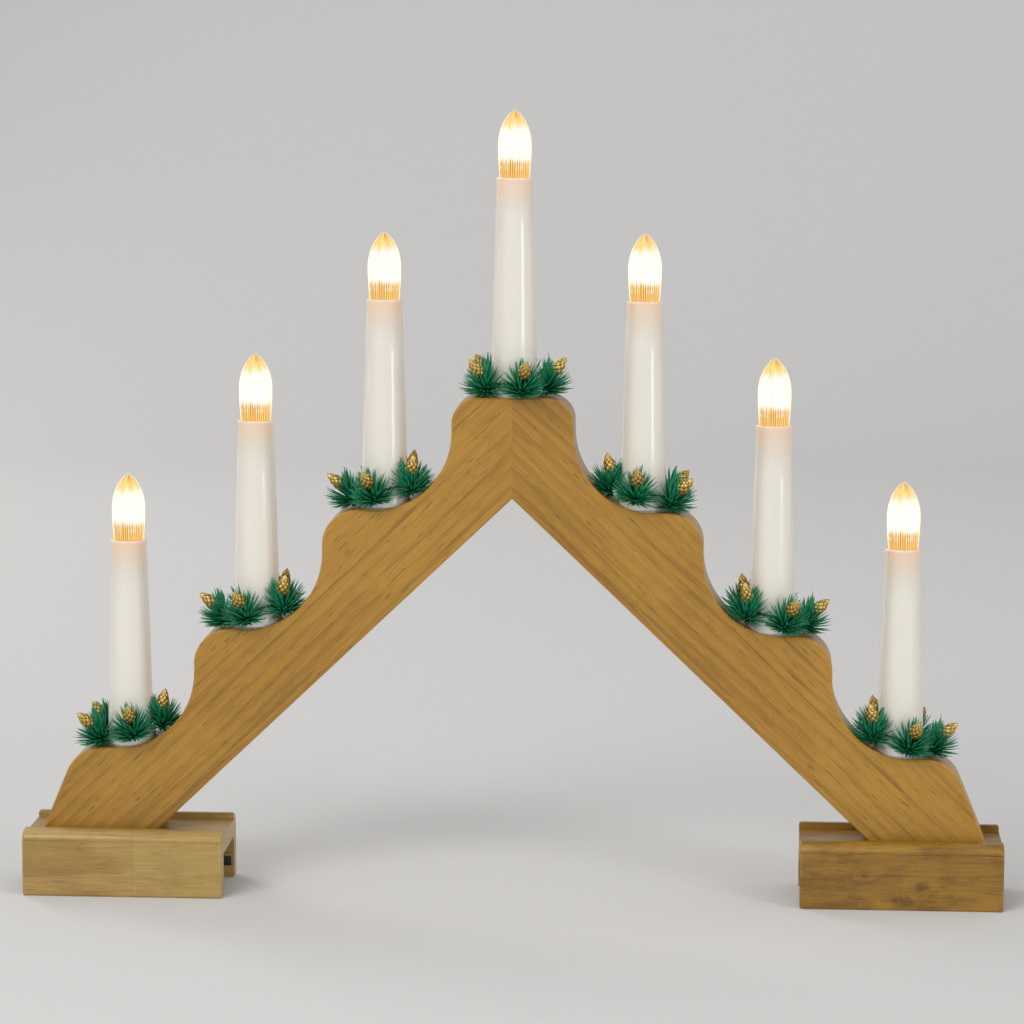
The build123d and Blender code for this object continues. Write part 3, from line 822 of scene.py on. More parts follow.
@dataclass(frozen=True)
class CellJacket:
    """Foil jacket of the dry cells: dark, with a copper-coloured end.

    Attributes:
        name: Name of the material.
        middle: Middle of the cells along X, in metres.
        band_start: Distance from there to the coloured end, in metres.
        foil: Colour of the jacket.
        end: Colour of its end.
    """

    name: str
    middle: float
    band_start: float = 0.0105
    foil: Colour = tint(38, 38, 42)
    end: Colour = tint(188, 116, 66)

    def build(self) -> bpy.types.Material:
        """Makes the material.

        Returns:
            The jacket.
        """
        shader = Shader(self.name)
        place = shader.place()
        rub = shader.noise(place, 900, 2)
        beyond = (shader.axes(place)[0] - self.middle).fade(self.band_start, self.band_start + 0.3 * MILLIMETRE)
        surface = shader.principled(
            Base_Color=shader.mix(beyond, self.foil, self.end),
            Metallic=0.55,
            Roughness=0.3 + rub * 0.1,
        )
        return shader.close(surface)


class Finishes:
    """Every finish of the object, each made once."""

    def __init__(self) -> None:
        """Makes the materials."""
        pine = {"early": tint(184, 137, 48), "late": tint(130, 87, 23)}
        pale = {
            "early": tint(184, 153, 88),
            "late": tint(142, 105, 48),
            "pith": (0.03, 0.03),
            "streak_share": 0.4,
            "mottle": 0.3,
            "seam": -0.1738,
        }
        brown = {
            "early": tint(166, 123, 42),
            "late": tint(110, 74, 20),
            "streak_share": 0.4,
            "pith": (0.02, -0.006),
            "ring_width": 0.0044,
            "ring_contrast": 0.36,
            "knots": ((0.1795, 0.0045, 0.003), (0.1875, 0.0115, 0.0022), (0.162, 0.016, 0.0012)),
            "mottle": 0.55,
        }
        # The second set of board finishes is brighter, a painted highlight for the eased edges.
        self.pine, self.pine_edge_highlight = (
            {
                side: VarnishedPine(f"{name}_{label}", pitch=rise, shade=shade, **pine).build()
                for side, label, rise in ((-1, "left", Arch.grain_angle), (1, "right", -Arch.grain_angle))
            }
            for name, shade in (("pine", 1.0), ("pine_edge_highlight", 1.22))
        )
        self.foot = {
            -1: VarnishedPine("pale_pine_foot", **pale).build(),
            1: VarnishedPine("dark_pine_foot", **brown).build(),
        }
        # The feet's moulding finishes are brighter, a painted highlight.
        self.foot_edge_highlight = {
            -1: VarnishedPine("pale_pine_edge_highlight", shade=1.12, **pale).build(),
            1: VarnishedPine("dark_pine_edge_highlight", shade=1.15, **brown).build(),
        }
        beech = VarnishedPine("beech_dowel", tint(214, 176, 132), tint(176, 130, 84), streak_share=0.2)
        self.beech = beech.build()
        self.tube = CandlePlastic().build()
        self.collar = MouldedPlastic("collar_white", tint(236, 233, 226), 0.2, coat=0.4).build()
        self.holder = MouldedPlastic("holder_ivory", tint(226, 216, 192), 0.5).build()
        self.glow = LampGlow().build()
        self.glass = RibbedGlass().build()
        self.cap = PlatedMetal("cap_nickel", tint(206, 204, 196), 0.3).build()
        self.needles = NeedleGreen().build()
        self.twig = MouldedPlastic("twig_green", tint(12, 52, 34), 0.5, relief=0.00004).build()
        self.gilding = GildedScales().build()
        self.black = MouldedPlastic("box_black", tint(30, 30, 32), 0.46, grain=2200, relief=0.00005).build()
        self.lead = MouldedPlastic("lead_white", tint(228, 226, 218), 0.42).build()
        self.leaf = PlatedMetal("leaf_nickel", tint(214, 214, 212), 0.26).build()
        self.screw = PlatedMetal("screw_zinc", tint(204, 196, 168), 0.32).build()


def new_piece(
    shape: bmesh.types.BMesh,
    name: str,
    materials: list[bpy.types.Material],
    body: str,
    nodes: tuple[str, ...],
) -> bpy.types.Object:
    """Turns a finished shape into a piece of the object.

    Args:
        shape: The shape, in the frame's metres. It is freed.
        name: Name of the piece.
        materials: Its materials, in the order of the faces' numbers.
        body: The body that it rides on.
        nodes: CAD nodes that it stands for.

    Returns:
        The new object.
    """
    mesh = bpy.data.meshes.new(name)
    shape.to_mesh(mesh)
    shape.free()
    for material in materials:
        mesh.materials.append(material)
    piece = bpy.data.objects.new(name, mesh)
    bpy.context.scene.collection.objects.link(piece)
    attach(piece, body)
    if nodes:
        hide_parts(*nodes)
    LOG.info("%s: %d faces", name, len(mesh.polygons))
    return piece


def smooth(shape: bmesh.types.BMesh, sharp_angle: float = 32.0) -> None:
    """Shades a shape smooth, but for its sharp edges.

    Args:
        shape: The shape.
        sharp_angle: Angle between faces from which an edge stays sharp, in degrees.
    """
    limit = math.radians(sharp_angle)
    for face in shape.faces:
        face.smooth = True
    for edge in shape.edges:
        edge.smooth = len(edge.link_faces) == 2 and edge.calc_face_angle(0.0) < limit


def turned_shape(profile: list[tuple[float, float]], steps: int) -> bmesh.types.BMesh:
    """Spins a profile about the Z axis.

    Args:
        profile: Radius and height of each point. A closed profile ends where it starts.
        steps: Faces round the axis.

    Returns:
        The closed shape, with its faces outward.
    """
    shape = bmesh.new()
    closed = profile[0] == profile[-1]
    points = [shape.verts.new((radius, 0, height)) for radius, height in profile[: -1 if closed else None]]
    pairs = list(zip(points, points[1:])) + ([(points[-1], points[0])] if closed else [])
    edges = [shape.edges.new(pair) for pair in pairs]
    bmesh.ops.spin(
        shape, geom=points + edges, cent=(0, 0, 0), axis=(0, 0, 1), angle=math.tau, steps=steps,
        use_merge=True, use_duplicate=False,
    )
    bmesh.ops.remove_doubles(shape, verts=shape.verts, dist=POINT_DISTANCE)
    bmesh.ops.recalc_face_normals(shape, faces=shape.faces)
    return shape


def arc(
    centre: tuple[float, float],
    radius: float,
    start: float,
    end: float,
    count: int,
) -> list[tuple[float, float]]:
    """Points along an arc of a profile.

    Args:
        centre: Its centre.
        radius: Its radius.
        start: Angle of its first point, in degrees.
        end: Angle of its last point, in degrees.
        count: Number of points.

    Returns:
        The points.
    """
    angles = [math.radians(start + (end - start) * step / (count - 1)) for step in range(count)]
    return [(centre[0] + radius * math.cos(a), centre[1] + radius * math.sin(a)) for a in angles]


def keep_local(shape: bmesh.types.BMesh) -> None:
    """Writes each vertex's own place into the attribute local, which stays with the mesh."""
    layer = shape.verts.layers.float_vector.new("local")
    for vert in shape.verts:
        vert[layer] = vert.co


def stamp(shape: bmesh.types.BMesh, mesh: bpy.types.Mesh, placed: Matrix) -> list[bmesh.types.BMVert]:
    """Adds a copy of a mesh to a shape.

    Args:
        shape: The shape that it joins.
        mesh: The mesh.
        placed: Where the copy goes.

    Returns:
        The copy's vertices.
    """
    before = len(shape.verts)
    shape.from_mesh(mesh)
    shape.verts.ensure_lookup_table()
    added = shape.verts[before:]
    bmesh.ops.transform(shape, matrix=placed, verts=added)
    return added


def second_finish(shape: bmesh.types.BMesh, first: int) -> None:
    """Gives the second material to a shape's faces from a number on."""
    shape.faces.ensure_lookup_table()
    for face in shape.faces[first:]:
        face.material_index = 1


def kept(shape: bmesh.types.BMesh, name: str) -> bpy.types.Mesh:
    """Turns a shape into a mesh that is only stamped from.

    Args:
        shape: The shape. It is freed.
        name: Name of the mesh.

    Returns:
        The mesh.
    """
    mesh = bpy.data.meshes.new(name)
    shape.to_mesh(mesh)
    shape.free()
    return mesh


def refined_copy(node: str, edge_width: float = 0.0) -> bmesh.types.BMesh:
    """Copies a CAD node, joins its triangles and softens its edges.

    Args:
        node: Name of the node.
        edge_width: Width of the rounding, in metres, or 0 for none.

    Returns:
        The shape.
    """
    shape = bmesh.new()
    shape.from_mesh(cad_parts[node].data)
    bmesh.ops.remove_doubles(shape, verts=shape.verts, dist=MERGE_DISTANCE)
    if edge_width:
        join_flats(shape)
        sharp = [edge for edge in shape.edges if edge.calc_face_angle(0.0) > EDGE_ANGLE]
        round_edges(shape, sharp, edge_width, 2)
    smooth(shape)
    return shape


def join_flats(shape: bmesh.types.BMesh) -> None:
    """Joins the faces that lie in one plane."""
    bmesh.ops.dissolve_limit(
        shape, angle_limit=FLAT_ANGLE, use_dissolve_boundaries=False,
        verts=shape.verts, edges=shape.edges, delimit=set(),
    )


def round_edges(
    shape: bmesh.types.BMesh,
    edges: list[bmesh.types.BMEdge],
    width: float,
    segments: int,
    clamped: bool = True,
) -> None:
    """Rounds edges of a shape.

    Args:
        shape: The shape.
        edges: The edges.
        width: Distance that the rounding reaches, in metres.
        segments: Faces across it.
        clamped: Whether it stops where two roundings meet.
    """
    bmesh.ops.bevel(
        shape, geom=edges, offset=width, offset_type="OFFSET", affect="EDGES", segments=segments,
        profile=0.5, material=-1, clamp_overlap=clamped,
    )


@dataclass
class Arch:
    """The two boards of the arch, their mitre dowels and the strips over their wiring grooves.

    Attributes:
        finishes: The finishes.
        grain_angle: Angle of the boards' grain above the X axis, in degrees.
        chamfer_low: Least share of Y in the normal of an eased edge, which takes a painted highlight.
        chamfer_high: Greatest share of Y there.
    """

    finishes: Finishes
    grain_angle: float = 43.6
    chamfer_low: float = 0.4
    chamfer_high: float = 0.95

    def build(self) -> None:
        """Makes the boards and dresses the hidden wood."""
        for side, label in ((-1, "left"), (1, "right")):
            node = f"arch_{label}_half"
            shape = refined_copy(node)
            for face in shape.faces:
                # Eased edges take the brighter wood, a painted highlight.
                face.material_index = int(self.chamfer_low < abs(face.normal.y) < self.chamfer_high)
            woods = [self.finishes.pine[side], self.finishes.pine_edge_highlight[side]]
            new_piece(shape, f"pine_board_{label}", woods, Body.ARCH.value, (node,))
            dress(f"groove_cover_{label}", self.finishes.pine[side])
        dress("mitre_dowels", self.finishes.beech)


@dataclass
class Feet:
    """The two moulded feet and the screws that hold the boards on them.

    Attributes:
        finishes: The finishes.
        moulding_low: Least share of Y in the normal of the moulding, which takes a painted highlight.
        moulding_high: Greatest share of Y there.
        rail_inner: Distance between the middle and the rails' inner sides, in metres.
        crest_height: Depth of the crests and of what lies above their quirk, in metres.
        crest_share: Share of that depth that is left when the quirk is raised.
        end_reach: Distance from the middle beyond which the ends' edges are rounded, in metres.
        end_radius: Reach of that rounding, in metres.
        end_play: Distance within which an edge lies at the end, in metres.
        end_facing: Least share of X in the normal of an end's face.
    """

    finishes: Finishes
    moulding_low: float = 0.2
    moulding_high: float = 0.98
    rail_inner: float = 19.75 * MILLIMETRE
    crest_height: float = 6.25 * MILLIMETRE
    crest_share: float = 0.79
    end_reach: float = 18.2 * MILLIMETRE
    end_radius: float = 1.1 * MILLIMETRE
    end_play: float = 0.01 * MILLIMETRE
    end_facing: float = 0.99

    def build(self) -> None:
        """Makes the feet and dresses the screws."""
        for side, node, slot in ((-1, "left_foot", "pale_pine"), (1, "right_foot", "dark_pine")):
            shape = refined_copy(node)
            self._trim(shape, *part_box(node))
            for face in shape.faces:
                # The moulding's faces take the brighter wood, a painted highlight.
                face.material_index = int(self.moulding_low < abs(face.normal.y) < self.moulding_high)
            woods = [self.finishes.foot[side], self.finishes.foot_edge_highlight[side]]
            new_piece(shape, f"pine_{node}", woods, Body.ARCH.value, (node,))
        dress("foot_screws", self.finishes.screw)

    def _trim(self, shape: bmesh.types.BMesh, low: Vector, high: Vector) -> None:
        """Raises the quirk under the crests of the rails and rounds the rails' ends.

        Args:
            shape: The foot.
            low: Lower corner of its box.
            high: Upper corner of its box.
        """
        for vert in shape.verts:
            fall = high.z - vert.co.z
            if abs(vert.co.y) > self.rail_inner and 0 < fall < self.crest_height:
                vert.co.z = high.z - fall * self.crest_share
        join_flats(shape)
        ends = [edge for edge in shape.edges if self._on_end(edge, low, high)]
        round_edges(shape, ends, self.end_radius, 3, clamped=False)
        shape.normal_update()
        smooth(shape)

    def _on_end(self, edge: bmesh.types.BMEdge, low: Vector, high: Vector) -> bool:
        """Tells whether an edge goes round the end of a rail.

        Args:
            edge: The edge.
            low: Lower corner of the foot's box.
            high: Upper corner of the foot's box.

        Returns:
            Whether it does.
        """
        start, finish = (vert.co for vert in edge.verts)
        facing = sum(abs(face.normal.x) > self.end_facing for face in edge.link_faces)
        off_end = min(abs(start.x - low.x), abs(start.x - high.x))
        return facing == 1 and abs(start.y + finish.y) / 2 > self.end_reach and off_end < self.end_play


def dress(node: str, material: bpy.types.Material) -> None:
    """Gives a CAD node that stays its material.

    Args:
        node: Name of the node.
        material: Its new material.
    """
    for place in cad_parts[node].material_slots:
        place.material = material
    LOG.info("%s: dressed", node)


@dataclass
class Candle:
    """One candle: its tapered tube, the collar that it stands on and its screw-in lamp.

    Levels are from the rim of the tube. Sizes are in metres and angles in degrees.

    Attributes:
        number: Its number, from the left.
        finishes: The finishes.
    """

    number: int
    finishes: Finishes
    steps: int = 72
    tube_wall: float = 1.0 * MILLIMETRE
    tube_taper: float = 2.4 * MILLIMETRE
    tube_swell: float = 1.3
    foot_round: float = 0.3 * MILLIMETRE
    rim_bead: float = 0.25 * MILLIMETRE
    rim_height: float = 1.5 * MILLIMETRE
    bead_step: float = 0.08 * MILLIMETRE
    rim_bore: float = 4.8 * MILLIMETRE
    collar_height: float = 5.2 * MILLIMETRE
    tube_sink: float = 3.5 * MILLIMETRE
    cup_bore: float = 10.7 * MILLIMETRE
    cup_rim_height: float = 6.3 * MILLIMETRE
    cup_rim_slant: float = 12.0
    cup_round: float = 0.36 * MILLIMETRE
    collar_radius: float = 11.65 * MILLIMETRE
    collar_band: float = 1.3 * MILLIMETRE
    collar_chamfer: float = 0.2 * MILLIMETRE
    collar_floor: float = 1.8 * MILLIMETRE
    dome_radius: float = 3.9 * MILLIMETRE
    spigot_radius: float = 6.5 * MILLIMETRE
    spigot_length: float = 9.0 * MILLIMETRE
    spigot_chamfer: float = 0.4 * MILLIMETRE
    stub_radius: float = 9.4 * MILLIMETRE
    stub_height: float = 8.0 * MILLIMETRE
    stub_wall: float = 1.6 * MILLIMETRE
    stub_taper: float = 0.3 * MILLIMETRE
    bore_radius: float = 2.6 * MILLIMETRE
    ribs: int = 40
    rib_steps: int = 4
    rib_depth: float = 0.22 * MILLIMETRE
    rib_fade: float = 0.3
    flange_level: float = -4.7 * MILLIMETRE
    flange_radius: float = 6.6 * MILLIMETRE
    flange_height: float = 1.0 * MILLIMETRE
    neck_height: float = 1.1 * MILLIMETRE
    cap_length: float = 11.0 * MILLIMETRE
    cap_radius: float = 4.75 * MILLIMETRE
    cap_turns: int = 6
    cap_rows: int = 6
    cap_steps: int = 32
    cap_roll: float = 0.13 * MILLIMETRE
    tip_radius: float = 2.2 * MILLIMETRE
    tip_height: float = 1.2 * MILLIMETRE
    tip_chamfer: float = 0.3 * MILLIMETRE
    glow_inset: float = 0.42 * MILLIMETRE
    mouth_radius: float = 6.8 * MILLIMETRE
    belly_radius: float = 7.6 * MILLIMETRE
    belly_share: float = 0.47
    belly_power: float = 0.72
    glass_rows: int = 26
    glow_foot: float = -1.0 * MILLIMETRE
    glow_rows: int = 16
    glow_steps: int = 48
    smooth_below: float = 40.0
    lamp_smooth_below: float = 60.0

    def __post_init__(self) -> None:
        """Reads the candle's place and main sizes from the frame."""
        low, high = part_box(f"candle_tube_{self.number}")
        self.axis_x = (low.x + high.x) / 2
        self.foot_level = low.z
        self.rim_level = high.z
        self.side = round(self.axis_x / max(abs(self.axis_x), MILLIMETRE))
        self.rest_height = self.collar_height - abs(self.side) * self.tube_sink
        self.foot_radius = (high.x - low.x) / 2
        self.top_radius = self.foot_radius - self.tube_taper
        _, lamp_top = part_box(f"bulb_{self.number}")
        self.glass_height = lamp_top.z - high.z

    def build(self) -> None:
        """Makes the candle's pieces."""
        self._tube()
        self._collar()
        self._lamp()
        dress(f"lamp_holder_{self.number}", self.finishes.holder)

    def _seat(self, shape: bmesh.types.BMesh) -> None:
        """Moves a shape made about the rim's centre to the candle, and keeps its own places."""
        keep_local(shape)
        bmesh.ops.translate(shape, verts=shape.verts, vec=(self.axis_x, 0, self.rim_level))

    def _tube(self) -> None:
        """Makes the tube, with a bead round its rim and an open bore."""
        length = self.rim_level - self.foot_level
        outer = self.top_radius + self.rim_bead
        bore = self.top_radius - self.tube_wall
        lip = (outer - bore) / 2
        bead_foot = -self.rim_height
        profile = [(self.foot_radius - self.tube_wall, -length)]
        corner = (self.foot_radius - self.foot_round, -length + self.foot_round)
        profile += arc(corner, self.foot_round, -90, 0, 4)
        for share in (0.25, 0.5, 0.75):
            radius = self.foot_radius + (self.top_radius - self.foot_radius) * share ** self.tube_swell
            profile.append((radius, -length + (length + bead_foot) * share))
        profile += [(self.top_radius, bead_foot - self.rim_bead), (outer - self.bead_step, bead_foot)]
        profile += arc((outer - lip, -lip), lip, 0, 180, 11)
        profile += [(bore, -self.rim_bore), (self.foot_radius - self.tube_wall, -length)]
        shape = turned_shape(profile, self.steps)
        smooth(shape, self.smooth_below)
        self._seat(shape)
        node = f"candle_tube_{self.number}"
        tube = [self.finishes.tube]
        new_piece(shape, f"lit_tube_{self.number}", tube, Body.ARCH.value, (node,))

    def _collar(self) -> None:
        """Makes the base under the tube: a domed collar on the apex and a slanted cup on the steps."""
        seat = self.foot_level - self.rest_height - self.rim_level
        rest = seat + self.rest_height
        spigot_end = seat - self.spigot_length
        floor = seat + self.collar_floor
        profile = [
            (self.bore_radius, spigot_end),
            (self.spigot_radius - self.spigot_chamfer, spigot_end),
            (self.spigot_radius, spigot_end + self.spigot_chamfer),
            (self.spigot_radius, seat),
            (self.collar_radius - self.collar_chamfer, seat),
            (self.collar_radius, seat + self.collar_chamfer),
        ]
        if self.side:
            profile += [(self.collar_radius, rest)]
        else:
            centre = (self.collar_radius - self.dome_radius, seat + self.collar_band)
            profile += arc(centre, self.dome_radius, 0, 88, 12)
        profile += [
            (self.stub_radius, rest),
            (self.stub_radius - self.stub_taper, rest + self.stub_height),
            (self.stub_radius - self.stub_wall, rest + self.stub_height),
            (self.stub_radius - self.stub_wall, floor),
            (self.bore_radius, floor),
            (self.bore_radius, spigot_end),
        ]
        shape = turned_shape(profile, self.steps)
        if self.side:
            stamp(shape, self._cup(seat), Matrix.Identity(4))
        smooth(shape, self.smooth_below)
        self._seat(shape)
        node = f"candle_base_{self.number}"
        collar = [self.finishes.collar]
        new_piece(shape, f"collar_{self.number}", collar, Body.ARCH.value, (node,))

    def _cup(self, seat: float) -> bpy.types.Mesh:
        """Makes the wall of a cup round the foot of the tube, higher on the uphill side.

        Args:
            seat: Level of its foot, from the rim.

        Returns:
            The wall.
        """
        top = seat + 2 * self.cup_rim_height
        inside, outside = self.cup_bore, self.collar_radius
        wall = [(inside, seat), (outside, seat), (outside, top), (inside, top), (inside, seat)]
        shape = turned_shape(wall, self.steps)
        slant = math.radians(self.cup_rim_slant)
        bmesh.ops.bisect_plane(
            shape, geom=shape.verts[:] + shape.edges[:] + shape.faces[:], dist=POINT_DISTANCE,
            clear_outer=True, plane_co=(0, 0, seat + self.cup_rim_height),
            plane_no=(self.side * math.sin(slant), 0, math.cos(slant)),
        )
        rims = [edge for edge in shape.edges if edge.is_boundary]
        bmesh.ops.bridge_loops(shape, edges=rims)
        round_edges(shape, rims, self.cup_round, 4)
        bmesh.ops.recalc_face_normals(shape, faces=shape.faces)
        return kept(shape, f"cup_{self.number}")

    def _glass_profile(self, inset: float, rows: int) -> list[tuple[float, float]]:
        """Outline of the glass above the rim: a low belly, then drawn in to a flame's tip.

        Args:
            inset: How far it lies inside the glass.
            rows: Number of points.

        Returns:
            The outline, from the mouth to the tip.
        """
        mouth = self.mouth_radius - inset
        belly = self.belly_radius - inset
        height = self.glass_height - inset
        points = []
        for row in range(rows + 1):
            share = math.sin(row / rows * math.pi / 2)
            if share < self.belly_share:
                radius = mouth + (belly - mouth) * math.sin(share / self.belly_share * math.pi / 2)
            else:
                fall = (share - self.belly_share) / (1 - self.belly_share)
                radius = belly * max(0.0, 1 - fall ** 2) ** self.belly_power
            points.append((radius, height * share))
        return points

    def _lamp(self) -> None:
        """Makes the ribbed glass, the light inside it and the screw cap, which turn together."""
        body = f"lamp_{self.number}"
        neck = (self.flange_radius, self.flange_level + self.neck_height)
        profile = [neck] + self._glass_profile(0, self.glass_rows)
        shape = turned_shape(profile, self.ribs * self.rib_steps)
        for vert in shape.verts:
            share = vert.co.z / self.glass_height
            angle = math.atan2(vert.co.y, vert.co.x)
            depth = self.rib_depth * min(1.0, max(0.0, (1 - share) / self.rib_fade))
            radius = math.hypot(vert.co.x, vert.co.y)
            if radius > depth:
                inward = 1 - depth / radius * (0.5 - 0.5 * math.cos(self.ribs * angle))
                vert.co.x *= inward
                vert.co.y *= inward
        smooth(shape, self.lamp_smooth_below)
        self._seat(shape)
        node = f"bulb_{self.number}"
        new_piece(shape, f"lamp_glass_{self.number}", [self.finishes.glass], body, (node,))
        profile = [(0, self.glow_foot)] + self._glass_profile(self.glow_inset, self.glow_rows)
        shape = turned_shape(profile, self.glow_steps)
        smooth(shape, self.lamp_smooth_below)
        self._seat(shape)
        new_piece(shape, f"lamp_light_{self.number}", [self.finishes.glow], body, (node,))
        self._cap(body, node)

    def _cap(self, body: str, node: str) -> None:
        """Makes the rolled screw cap with its tip contact.

        Args:
            body: The lamp's body.
            node: The CAD node that it stands for, with the glass.
        """
        top = self.flange_level
        foot = top - self.cap_length
        tip = foot - self.tip_height
        profile = [(0, tip), (self.tip_radius, tip + self.tip_chamfer), (self.tip_radius, foot)]
        points = self.cap_turns * self.cap_rows
        for step in range(points + 1):
            share = step / points
            roll = self.cap_roll * math.cos(share * self.cap_turns * math.tau)
            profile.append((self.cap_radius + roll, top - self.cap_length * (1 - share)))
        flange_top = top + self.flange_height
        profile += [(self.flange_radius, top), (self.flange_radius, flange_top), (0, flange_top)]
        shape = turned_shape(profile, self.cap_steps)
        smooth(shape, self.lamp_smooth_below)
        self._seat(shape)
        new_piece(shape, f"lamp_cap_{self.number}", [self.finishes.cap], body, (node,))


@dataclass
class SprigKit:
    """The moulded sprig of needles and the gilded cone that every wreath is made of.

    Sizes are in metres and angles in degrees.

    Attributes:
        tiers: Each tier of blades by its angle above the ring's plane, its reach as a share of a
            blade's length, half of its spread and its number of blades. Angles are in degrees.
    """

    blade_length: float = 12.4 * MILLIMETRE
    blade_width: float = 1.45 * MILLIMETRE
    blade_thickness: float = 0.75 * MILLIMETRE
    blade_root: float = 0.7
    blade_growth: tuple[float, ...] = (1.35, 0.98, 0.62, 0.08)
    blade_thinning: float = 0.85
    blade_bend: float = 17.0
    blade_start: float = 0.6 * MILLIMETRE
    side_reach: float = 0.92
    front_gain: float = 0.1
    length_play: tuple[float, float] = (0.86, 1.04)
    width_play: tuple[float, float] = (0.85, 1.1)
    tilt_play: float = 5.0
    turn_play: float = 6.0
    root_drop: float = 3.0 * MILLIMETRE
    drop_angle: float = 60.0
    root_climb: float = 2.2 * MILLIMETRE
    hub_foot: float = 0.9 * MILLIMETRE
    hub_radius: float = 1.5 * MILLIMETRE
    hub_height: float = 3.0 * MILLIMETRE
    peg_tip: float = 0.4 * MILLIMETRE
    peg_radius: float = 0.6 * MILLIMETRE
    peg_length: float = 6.0 * MILLIMETRE
    stem_foot: float = 0.8 * MILLIMETRE
    stem_radius: float = 0.6 * MILLIMETRE
    post_sides: int = 8
    cone_length: float = 11.2 * MILLIMETRE
    cone_radius: float = 3.1 * MILLIMETRE
    cone_body: float = 0.94
    cone_reach: float = 3.4 * MILLIMETRE
    cone_lean: float = 40.0
    cone_clearance: float = 25.0
    cone_columns: int = 6
    cone_rows: int = 8
    belly_shift: float = 0.62
    belly_fullness: float = 0.72
    scale_height: float = 0.42 * MILLIMETRE
    scale_middle: float = 0.45
    scale_lift: float = 0.25 * MILLIMETRE
    tip_fade: float = 5.0
    cone_smooth_below: float = 75.0
    seeds: tuple[int, ...] = (3, 8, 21)
    tiers: tuple[tuple[float, float, float, int], ...] = (
        (-38.0, 0.58, 114.0, 13),
        (-21.0, 0.82, 110.0, 17),
        (-6.0, 0.97, 107.0, 20),
        (7.0, 1.03, 106.0, 22),
        (20.0, 1.03, 107.0, 22),
        (33.0, 1.04, 110.0, 20),
        (47.0, 1.02, 115.0, 18),
        (61.0, 0.99, 126.0, 14),
        (76.0, 0.94, 150.0, 9),
    )

    def __post_init__(self) -> None:
        """Makes the meshes that are stamped."""
        self.blade = self._blade()
        self.sprigs = [self._sprig(random.Random(seed)) for seed in self.seeds]
        self.cone = self._cone()

    def _blade(self) -> bpy.types.Mesh:
        """Makes one flat blade that grows along Z and curves towards Y.

        Returns:
            The blade.
        """
        shape = bmesh.new()
        layer = shape.verts.layers.float_vector.new("blade")
        corners = bmesh.ops.create_circle(shape, cap_ends=True, segments=4, radius=0.5)["verts"]
        root = (self.blade_width * self.blade_root, self.blade_thickness, 1)
        bmesh.ops.scale(shape, verts=corners, vec=root)
        face = shape.faces[:][0]
        stations = len(self.blade_growth)
        step_length = self.blade_length / stations
        for station, growth in enumerate(self.blade_growth, start=1):
            share = station / stations
            face = bmesh.ops.extrude_discrete_faces(shape, faces=[face])["faces"][0]
            bend = math.radians(self.blade_bend * share)
            step = (0, step_length * math.sin(bend), step_length * math.cos(bend))
            bmesh.ops.translate(shape, verts=face.verts, vec=step)
            centre = Matrix.Translation(-face.calc_center_median())
            thinning = min(self.blade_thinning, growth * 3)
            bmesh.ops.scale(shape, verts=face.verts, vec=(growth, thinning, 1), space=centre)
            for vert in face.verts:
                vert[layer] = Vector((share, 0, 0))
        bmesh.ops.holes_fill(shape, edges=shape.edges, sides=4)
        for vert in shape.verts:
            vert[layer] = Vector((vert[layer][0], 0, float(abs(vert.co.x) < POINT_DISTANCE)))
        bmesh.ops.recalc_face_normals(shape, faces=shape.faces)
        return kept(shape, "blade")

    def _sprig(self, draw: random.Random) -> bpy.types.Mesh:
        """Makes a sprig: hub, peg, cone stem and a fan of blades in tiers.

        Args:
            draw: Seeded source of its unevenness.

        Returns:
            The sprig, pointing along X, with the ring's plane at Z 0.
        """
        shape = bmesh.new()
        for elevation, reach, spread, count in self.tiers:
            for blade in range(count):
                tilt = elevation + draw.uniform(-self.tilt_play, self.tilt_play)
                turn = spread * (2 * blade / (count - 1) - 1) + draw.uniform(-self.turn_play, self.turn_play)
                if self._off_cone(tilt, turn) < self.cone_clearance:
                    continue  # The cone is there.
                outward = math.cos(math.radians(turn)) ** 2
                length = reach * (self.side_reach + self.front_gain * outward) * draw.uniform(*self.length_play)
                width = draw.uniform(*self.width_play)
                seed = draw.random()
                added = stamp(shape, self.blade, self._blade_place(tilt, turn, width, length))
                layer = shape.verts.layers.float_vector["blade"]
                for vert in added:
                    vert[layer] = Vector((vert[layer][0], seed, vert[layer][2]))
        before = len(shape.faces)
        self._posts(shape)
        second_finish(shape, before)
        return kept(shape, "sprig")

    def _blade_place(self, tilt: float, turn: float, width: float, length: float) -> Matrix:
        """Place of a blade on its sprig.

        Args:
            tilt: Its angle above the ring's plane, in degrees.
            turn: Its bearing, in degrees.
            width: Factor on its width.
            length: Factor on its length.

        Returns:
            Its place, with both factors.
        """
        lean = math.radians(self.cone_lean)
        climb = self.root_climb * max(0.0, tilt) / 90
        drop = self.root_drop * min(1.0, (90 - tilt) / self.drop_angle)
        return (
            Matrix.Translation((climb * math.sin(lean), 0, climb * math.cos(lean) - drop))
            @ Matrix.Rotation(math.radians(turn), 4, "Z")
            @ Matrix.Rotation(math.radians(90 - tilt), 4, "Y")
            @ Matrix.Translation((0, 0, self.blade_start))
            @ Matrix.Rotation(math.radians(90), 4, "Z")
            @ Matrix.Diagonal((width, 1, length, 1))
        )

    def _off_cone(self, tilt: float, turn: float) -> float:
        """Angle between a blade and the cone, in degrees.

        Args:
            tilt: Angle of the blade above the ring's plane, in degrees.
            turn: Bearing of the blade, in degrees.

        Returns:
            The angle.
        """
        blade = Matrix.Rotation(math.radians(turn), 3, "Z") @ Matrix.Rotation(math.radians(-tilt), 3, "Y")
        cone = Matrix.Rotation(math.radians(self.cone_lean), 3, "Y")
        return math.degrees((blade @ Vector((1, 0, 0))).angle(cone @ Vector((0, 0, 1))))

